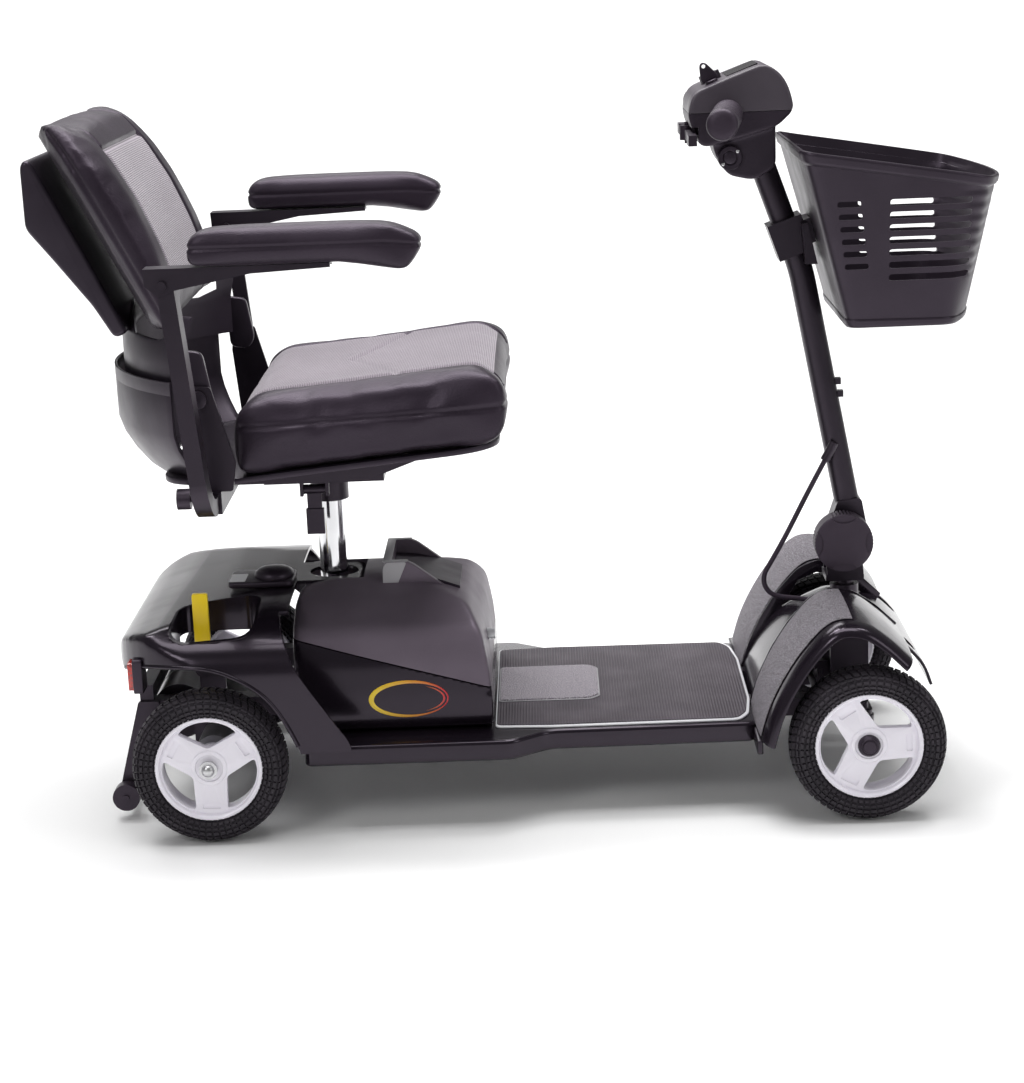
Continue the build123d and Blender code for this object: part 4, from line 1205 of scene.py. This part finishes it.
def basket_loop(rear, front, half, bow):
    """Plan of the basket: straight back, straight sides and a bowed front."""
    points = [
        (rear, -half), (front - bow, -half), (front - bow * 0.42, -half * 0.66),
        (front - bow * 0.1, -half * 0.33),
    ]
    points += [(front, 0)] + [(x, -y) for x, y in reversed(points[2:])]
    points += [(front - bow, half), (rear, half)]
    loop = eased(points, 17, 4)
    filled = []
    for a, b in zip(loop, loop[1:] + loop[:1]):
        gap = hypot(a[0] - b[0], a[1] - b[1])
        pieces = max(1, round(gap / 14))
        filled += [
            (a[0] + (b[0] - a[0]) * k / pieces, a[1] + (b[1] - a[1]) * k / pieces) for k in range(pieces)
        ]
    return filled


def rim_height(x):
    return 819.6 - 0.165 * (x - 200) - 0.6


def basket_ring(rear, front, half, bow, count):
    loop = basket_loop(rear, front, half, bow)
    loop.append(loop[0])
    lengths = [0]
    for a, b in zip(loop, loop[1:]):
        lengths.append(lengths[-1] + hypot(a[0] - b[0], a[1] - b[1]))
    made = []
    for k in range(count):
        want = lengths[-1] * k / count
        i = max(j for j in range(len(loop) - 1) if lengths[j] <= want)
        s = (want - lengths[i]) / max(lengths[i + 1] - lengths[i], 1e-6)
        made.append(
            (loop[i][0] + (loop[i + 1][0] - loop[i][0]) * s, loop[i][1] + (loop[i + 1][1] - loop[i][1]) * s)
        )
    return made


RING_COUNT = 170
RING_LOW = basket_ring(388.4, 545.6, 123.6, 32, RING_COUNT)
RING_HIGH = basket_ring(331.4, 592, 159.6, 32, RING_COUNT)


def basket_spot(u, v, swell=0.0):
    """Place on the basket's wall, u round it and v up it, pushed outwards by swell."""
    k = round(u * RING_COUNT) % RING_COUNT
    low, high = RING_LOW[k], RING_HIGH[k]
    full = 802 - 583
    share = v * (rim_height(high[0]) - 583) / full
    x = low[0] + (high[0] - low[0]) * share
    y = low[1] + (high[1] - low[1]) * share
    z = 583.4 + full * share
    wave = 0
    if x > 520 and 640 < z < 748:
        edge = min(1, (x - 520) / 14) * min(1, max(0, (abs(y) - 60) / 30))
        wave = -1.6 * (1 + cos(2 * pi * (z - 640) / 15)) / 2 * edge
    before, after = RING_HIGH[k - 1], RING_HIGH[(k + 1) % RING_COUNT]
    along = Vector((after[0] - before[0], after[1] - before[1])).normalized()
    push = swell + wave
    return (x + along.y * push, y - along.x * push, z)


def basket():
    wall = skin("basket_wall", RING_COUNT, 60, basket_spot)
    edit(wall, OUTWARD)
    thickened(wall, 2.7, -1)
    cutters = []
    for i in range(7):
        z = 640 + 15 * i
        cutters.append(plate("slot", eased(corners((436, 533), (z, z + 8)), 4, 4), "side", -200, 200))
    for i in range(6):
        z = 655 + 15 * i
        a, b = 384 - 2 * i, 412 - 2 * i
        cutters.append(plate("slot", eased(corners((a, b), (z, z + 7)), 3, 3), "side", -200, 200))
    less(wall, *cutters)
    floor_line = [(x * 0.985 + 7, y * 0.975) for x, y in RING_LOW]
    base = plate("basket_base", floor_line, "plan", 583.4, 586.2, 0.8, 2)
    for low, high, swell, depth in ((0.925, 1.0, 3.0, 3.4), (0.0, 0.05, 1.6, 2.4)):
        def strip(u, v, low=low, high=high, swell=swell):
            return basket_spot(u, low + (high - low) * v, swell * min(1, 4 * v) * min(1, 4 * (1 - v) + 0.45))
        lip = skin("lip", RING_COUNT, 8, strip)
        edit(lip, OUTWARD)
        thickened(lip, depth, -1)
        joined(wall, lip)
    return joined(wall, base)


fitted(basket(), "basket", "matte_black", replaces=["basket"], smooth=42)
hook = plate(
    "basket_hook", eased([(-26, 640), (26, 640), (26, 700), (12, 716), (-12, 716), (-26, 700)], 5, 3), "end",
    0, 2.4, 0.6,
)
for vertex in hook.data.vertices:
    x, y, z = vertex.co / MM
    vertex.co = Vector((x + 388 - (z - 583) * 0.2625 + 3.4, y, z)) * MM
fitted(hook, "basket", "frame_black")

# ------------------------------------------------------------------ seat shells


BUCKET_X = -223


def ring_skin(name, profile, spread, steps=48):
    """Curved wall round the bucket's centre, closed all round its section."""
    count = len(profile)

    def shape(u, v):
        k = round(v * count) % count
        radius, z = profile[k]
        angle = radians(spread) * (2 * u - 1)
        return (BUCKET_X - radius * cos(angle), radius * sin(angle), z)

    return skin(name, steps, count, shape, closed=True)


def bucket():
    profile = [
        (226, 436.3), (244, 436.3), (256, 446), (270, 464), (281, 483), (286.4, 500), (286.7, 530),
        (286.7, 561),
    ]
    profile += [
        (285.6, 564.3), (283.6, 564.3), (283, 560), (283, 530), (282.6, 502), (277, 486), (266, 468),
        (253, 452),
    ]
    profile += [(243, 443.2), (226, 443.2)]
    wall = ring_skin("seat_bucket", profile, 48.5)
    bevelled(wall, 1.0, 2, 50)
    board = [(-438, 436.3), (-345, 436.3), (-32, 465.7), (-32, 472.2), (-345, 442.8), (-438, 442.8)]
    pan = plate("pan", eased(board, 3, 2), "side", -194, 194)
    corner = eased(corners((-438, -31), (-194, 194)), 60, 8)
    shared(pan, plate("pan_plan", corner, "plan", 400, 500))
    bevelled(pan, 1.2, 2, 50)
    lip = [(286.6, 548), (286.9, 549.5), (286.9, 560), (286.9, 564), (286.6, 564)]
    bead = ring_skin("bead", lip, 48.4)
    return joined(wall, pan, bead)


fitted(bucket(), "seat", "shell_black", replaces=["seat_shell"])

FOOT = Vector((-462, 0, 621))
HEADREST = Vector((-575, 0, 845))
UP_BACK = (HEADREST - FOOT).normalized()
FORWARD = Vector((UP_BACK.z, 0, -UP_BACK.x))
BARREL = 547


def barrel_x(y):
    """How far the back's rear face comes forward at a distance from its middle."""
    return BARREL - sqrt(BARREL**2 - y * y)


def leaned(piece, ahead=0.0):
    """Puts a piece drawn on the back's own axes where the back stands."""
    for vertex in piece.data.vertices:
        x, y, z = vertex.co / MM
        vertex.co = (FOOT + FORWARD * (x + ahead) + UP_BACK * z + Vector((0, y, 0))) * MM
    return piece


def back_rear():
    profile = [
        (270.2, 556.3), (274.6, 556.3), (274.8, 580), (274.6, 603), (270, 616), (262, 636), (257.4, 639)
    ]
    profile += [(256.6, 637), (264, 620), (269.4, 606), (270.2, 600), (270.2, 580)]
    waist = ring_skin("back_waist", profile, 51.5)
    room = plate(
        "cushion_room", [(-429, 609), (-407, 617), (-400, 700), (-460, 700), (-473, 640), (-463, 611)],
        "side", -214, 214,
    )
    less(waist, room)
    line = [
        (-577, 822), (-583, 815), (-582.6, 741), (-552, 702), (-510, 646.5), (-487, 607), (-470, 614),
        (-520, 720), (-569, 818),
    ]
    panel = plate("rear_panel", eased(line, 8, 4), "side", -139.6, 139.6)
    bevelled(panel, 7, 5, 45)
    rows = [-200 + 400 * k / 24 for k in range(25)]
    rows = [(barrel_x(y), y) for y in rows]
    less(panel, leaned(plate("rear_room", rows + [(300, 200), (300, -200)], "plan", -150, 450), -1.0))
    waist = joined(waist, bevelled(panel, 0.8, 2, 50))
    for low, high in ((-224, -213.8), (213.8, 224)):
        arm = plate(
            "hinge_arm", eased([(-396, 536), (-372, 532), (-363, 546), (-372, 600), (-400, 604)], 8, 4),
            "side", low, high, 2,
        )
        joined(waist, arm)
    return waist


fitted(back_rear(), "seat_back", "shell_black", replaces=["back_shell"])
for out, hand in ((-1, "right"), (1, "left")):
    profile = [(0, 223), (5.9, 223), (5.9, 231.4), (10.4, 231.6), (10.4, 235.4), (9, 235.9), (0, 235.9)]
    bolt = turned(f"hinge_bolt_{hand}", [(r, out * a) for r, a in profile], (-379, 0, 546), "y", 32)
    fitted(bolt, "seat_back", "frame_black")

# ------------------------------------------------------------------ upholstery


def plumped(piece, cap, pressure=4.0):
    """Lets air pressure fill the cover, then holds back any point that moved too far."""
    applied(piece, "SMOOTH", factor=0.5, iterations=6)
    rest = [vertex.co.copy() for vertex in piece.data.vertices]
    alone(piece)
    cloth = piece.modifiers.new("cover", "CLOTH")
    cloth.settings.use_pressure = True
    cloth.settings.uniform_pressure_force = pressure
    cloth.settings.effector_weights.gravity = 0
    cloth.settings.quality = 4
    cloth.point_cache.frame_start = 1
    cloth.point_cache.frame_end = 20
    for frame_number in range(1, 21):
        bpy.context.scene.frame_set(frame_number)
    bpy.ops.object.modifier_apply(modifier=cloth.name)
    bpy.context.scene.frame_set(1)
    for vertex, start in zip(piece.data.vertices, rest):
        move = vertex.co - start
        if move.length > cap * MM:
            vertex.co = start + move.normalized() * cap * MM
    applied(piece, "SMOOTH", factor=0.5, iterations=14)
    return applied(piece, "SUBSURF", levels=1, render_levels=1)


# Half the width that both cushions are held to, and where the seat's side seams run.
PAD_HALF = 212.8
SEAT_SEAM = 158


def groove(distance, width):
    return max(0.0, 1 - (distance / width) ** 2) ** 2


def points_and_normals(piece):
    return zip(piece.data.vertices, [vertex.normal.copy() for vertex in piece.data.vertices])


def seat_bottom(x):
    return 436 + 7.4 + max(0, x + 345) * 0.095


def seat_cushion():
    line = [
        (-350, 449), (-338, 446), (-36, 475), (-19, 486), (-17, 540), (-28, 556), (-50, 560), (-200, 545),
        (-322, 534), (-348, 522),
    ]
    piece = plate("seat_pad", eased(line, 16, 4), "side", -205, 205)
    bevelled(piece, 15, 4, 50)
    remeshed(piece, 5)
    plumped(piece, 7)
    for vertex, normal in points_and_normals(piece):
        x, y, z = vertex.co / MM
        dent = 0
        if normal.z > 0.35:
            dent += 5.4 * groove(abs(abs(y) - SEAT_SEAM), 9)
            dent += 1.6 * max(0, 1 - (y / 150) ** 2) * max(0, 1 - ((x + 190) / 150) ** 2)
            crease = abs((x + 215) - 0.42 * abs(y))
            if abs(y) < SEAT_SEAM:
                dent += 4.4 * groove(crease, 8)
        if abs(normal.y) > 0.6 or normal.x > 0.6:
            side_seam = 505 + (x + 344) * 0.045
            dent += 2.6 * groove(abs(z - side_seam), 5)
        vertex.co -= normal * dent * MM
        z_floor = seat_bottom(x) + 0.4
        if vertex.co.z / MM < z_floor:
            vertex.co.z = z_floor * MM
        vertex.co.y = held(vertex.co.y / MM, -PAD_HALF, PAD_HALF) * MM
    return piece


def parted(piece, is_cloth, names):
    """Second finish on the faces where the cloth panel is."""
    for name in names:
        piece.data.materials.append(finishes[name])
    for face in piece.data.polygons:
        if is_cloth(face.center / MM, face.normal):
            face.material_index = 1
    return piece


def laid_on(piece, points, away, lift=0.0):
    """Points brought on to a piece's surface from outside, along a direction."""
    surface = surface_of(piece)
    found = []
    for point in points:
        start = Vector(point) * MM + Vector(away) * 0.2
        hit = surface.ray_cast(start, -Vector(away))
        if hit[0] is not None:
            found.append(hit[0] / MM + hit[1] * lift)
    return found


seat = seat_cushion()
parted(
    seat, lambda c, n: n.z > 0.3 and abs(c.y) < SEAT_SEAM and -338 < c.x < -36, ["seat_vinyl", "seat_cloth"]
)
seat_lines = []
for y in (-SEAT_SEAM, SEAT_SEAM):
    route = [(x, y, 600) for x in range(-325, -24, 12)]
    seat_lines.append((f"seat_piping_{'right' if y < 0 else 'left'}", laid_on(seat, route, (0, 0, 1), 0.6)))
fitted(seat, "seat", "seat_vinyl", replaces=["seat_cushion"], smooth=0)
for name, route in seat_lines:
    piping = tube(name, route, 4.2)
    fitted(piping, "seat", "seat_vinyl", smooth=60)

BACK = [
    (-432, 612), (-410, 620), (-413, 664), (-429, 717), (-452, 770), (-480, 817), (-517, 863), (-545, 868)
]
BACK += [(-569, 861), (-579, 845), (-545, 783), (-506, 702), (-463, 614)]


def back_seam(along):
    """Distance of the side seams from the middle, at a height up the back."""
    return 135 - 0.06 * max(0, along - 120)


def back_cushion():
    piece = plate("back_pad", eased(BACK, 12, 4), "side", -207, 207)
    rows = [-230 + 460 * k / 32 for k in range(33)]
    rows = [(barrel_x(min(abs(y), 225)) + 2.5, y) for y in rows]
    shared(piece, leaned(plate("barrel", rows + [(260, 230), (260, -230)], "plan", -160, 460)))
    shoulder = [(-207, -80), (-207, 190), (-196, 232), (-160, 262), (-90, 275)]
    shared(piece, leaned(plate("front_view", eased(mirrored(shoulder), 30, 6), "end", -160, 260)))
    bevelled(piece, 11, 4, 45)
    remeshed(piece, 5)
    plumped(piece, 6)
    for vertex, normal in points_and_normals(piece):
        place = vertex.co / MM
        forward = normal.dot(FORWARD)
        along = (place - FOOT).dot(UP_BACK)
        dent = 0
        if forward > 0.25 or (normal.z > 0.5 and along > 200):
            dent += 4.0 * groove(abs(abs(place.y) - back_seam(along)), 7)
            if abs(place.y) < 130:
                dent += 3.2 * groove(abs(along - 196), 6)
            dent += 5 * max(0, 1 - (place.y / 150) ** 2) * max(0, 1 - ((along - 80) / 120) ** 2)
        if abs(normal.y) > 0.55:
            rear_line = (place - FOOT).dot(FORWARD)
            dent += 2.4 * groove(abs(rear_line - barrel_x(abs(place.y)) - 9), 4)
        vertex.co -= normal * dent * MM
        place = vertex.co / MM
        vertex.co.y = held(place.y, -PAD_HALF, PAD_HALF) * MM
        depth = (place - FOOT).dot(FORWARD) - barrel_x(min(abs(place.y), 225)) - 0.4
        if depth < 0:
            vertex.co -= FORWARD * depth * MM
    return piece


def back_is_cloth(centre, normal):
    along = (centre - FOOT).dot(UP_BACK)
    return normal.dot(FORWARD) > 0.2 and abs(centre.y) < back_seam(along) and 12 < along < 196


back = back_cushion()
parted(back, back_is_cloth, ["seat_vinyl", "back_cloth"])
back_lines = []
for out in (-1, 1):
    route = [FOOT + UP_BACK * along + Vector((0, out * back_seam(along), 0)) for along in range(6, 266, 10)]
    back_lines.append((f"back_piping_{'right' if out < 0 else 'left'}", laid_on(back, route, FORWARD, 0.6)))
fitted(back, "seat_back", "seat_vinyl", replaces=["back_cushion"], smooth=0)
for name, route in back_lines:
    fitted(tube(name, route, 4.2), "seat_back", "seat_vinyl", smooth=60)

# ------------------------------------------------------------------ armrests

PAD_LINE = [
    (-369, 710.5), (-369, 740), (-352, 752), (-142, 752), (-110, 738), (-103, 728), (-124, 697),
    (-166, 706.5), (-200, 710.5),
]

for hand, out in (("right", -1), ("left", 1)):
    middle = out * 295
    pad = plate(f"arm_pad_{hand}", eased(PAD_LINE, 9, 4), "side", middle - 23, middle + 23)
    bevelled(pad, 9, 4, 50)
    remeshed(pad, 4)
    plumped(pad, 4)
    for vertex, normal in points_and_normals(pad):
        x, y, z = vertex.co / MM
        dent = 0
        if abs(normal.z) < 0.75:
            seam = 731 if x < -150 else 731 - (x + 150) * 0.1
            dent = 2.0 * groove(abs(z - seam), 3.4)
        vertex.co -= normal * dent * MM
        vertex.co.z = max(vertex.co.z / MM, 709.6 if x < -200 else 693) * MM
        vertex.co.y = held(vertex.co.y / MM, middle - 26.8, middle + 26.8) * MM
        vertex.co.x = held(vertex.co.x / MM, -370.8, -101.2) * MM
    fitted(pad, f"armrest_{hand}", "seat_vinyl", replaces=[f"armrest_pad_{hand}"], smooth=0)

# ------------------------------------------------------------------ stage and lights

bpy.ops.object.select_all(action="DESELECT")


def floor_finish():
    made = Finish("floor_pale")
    made.tint(made.level(made.cloud(0.8, 3), 0.3, 0.7), tone(0.9, 0.9, 0.9), tone(0.94, 0.94, 0.94))
    made.gloss(made.cloud(2, 3), 0.3, 0.7, 0.4, 0.5)
    return made.material


def sweep_point(u, v):
    """Floor that curves up into a wall behind the scooter."""
    reach, bend = 8600, 1500
    way = v * (reach + bend * radians(70))
    if way <= reach:
        y, z = -6000 + way, 0
    else:
        turn = (way - reach) / bend
        y, z = reach - 6000 + bend * sin(turn), bend * (1 - cos(turn))
    return (-8000 + 16000 * u, y, z - 1.5)


floor = skin("studio_floor", 8, 120, sweep_point)
floor.data.materials.append(floor_finish())
alone(floor)
bpy.ops.object.shade_smooth_by_angle(angle=radians(60))


def softbox(name, place, target, wide, tall, power):
    light = bpy.data.lights.new(name, "AREA")
    light.shape = "RECTANGLE"
    light.size = wide
    light.size_y = tall
    light.energy = power
    holder = bpy.data.objects.new(name, light)
    bpy.context.scene.collection.objects.link(holder)
    holder.location = place
    holder.rotation_euler = (Vector(target) - Vector(place)).to_track_quat("-Z", "Y").to_euler()


softbox("overhead", (0.0, 0.1, 3.4), (0, 0.1, 0), 3.0, 2.4, 120)
softbox("key_right", (-2.0, -3.0, 2.6), (0, 0, 0.4), 1.2, 1.2, 30)
softbox("fill_front", (2.8, -2.0, 1.8), (0, 0, 0.4), 1.0, 1.6, 14)
softbox("rim_back", (-0.8, 2.3, 2.6), (0, 0, 0.5), 2.4, 0.8, 26)
softbox("wall_wash", (0.0, 0.8, 4.2), (0, 4.1, 0.9), 6.0, 1.0, 210)

world = bpy.data.worlds.new("studio")
world.use_nodes = True
world.node_tree.nodes["Background"].inputs["Color"].default_value = tone(1.0, 1.0, 1.0)
world.node_tree.nodes["Background"].inputs["Strength"].default_value = 0.2
bpy.context.scene.world = world
bpy.context.scene.view_settings.view_transform = "Standard"
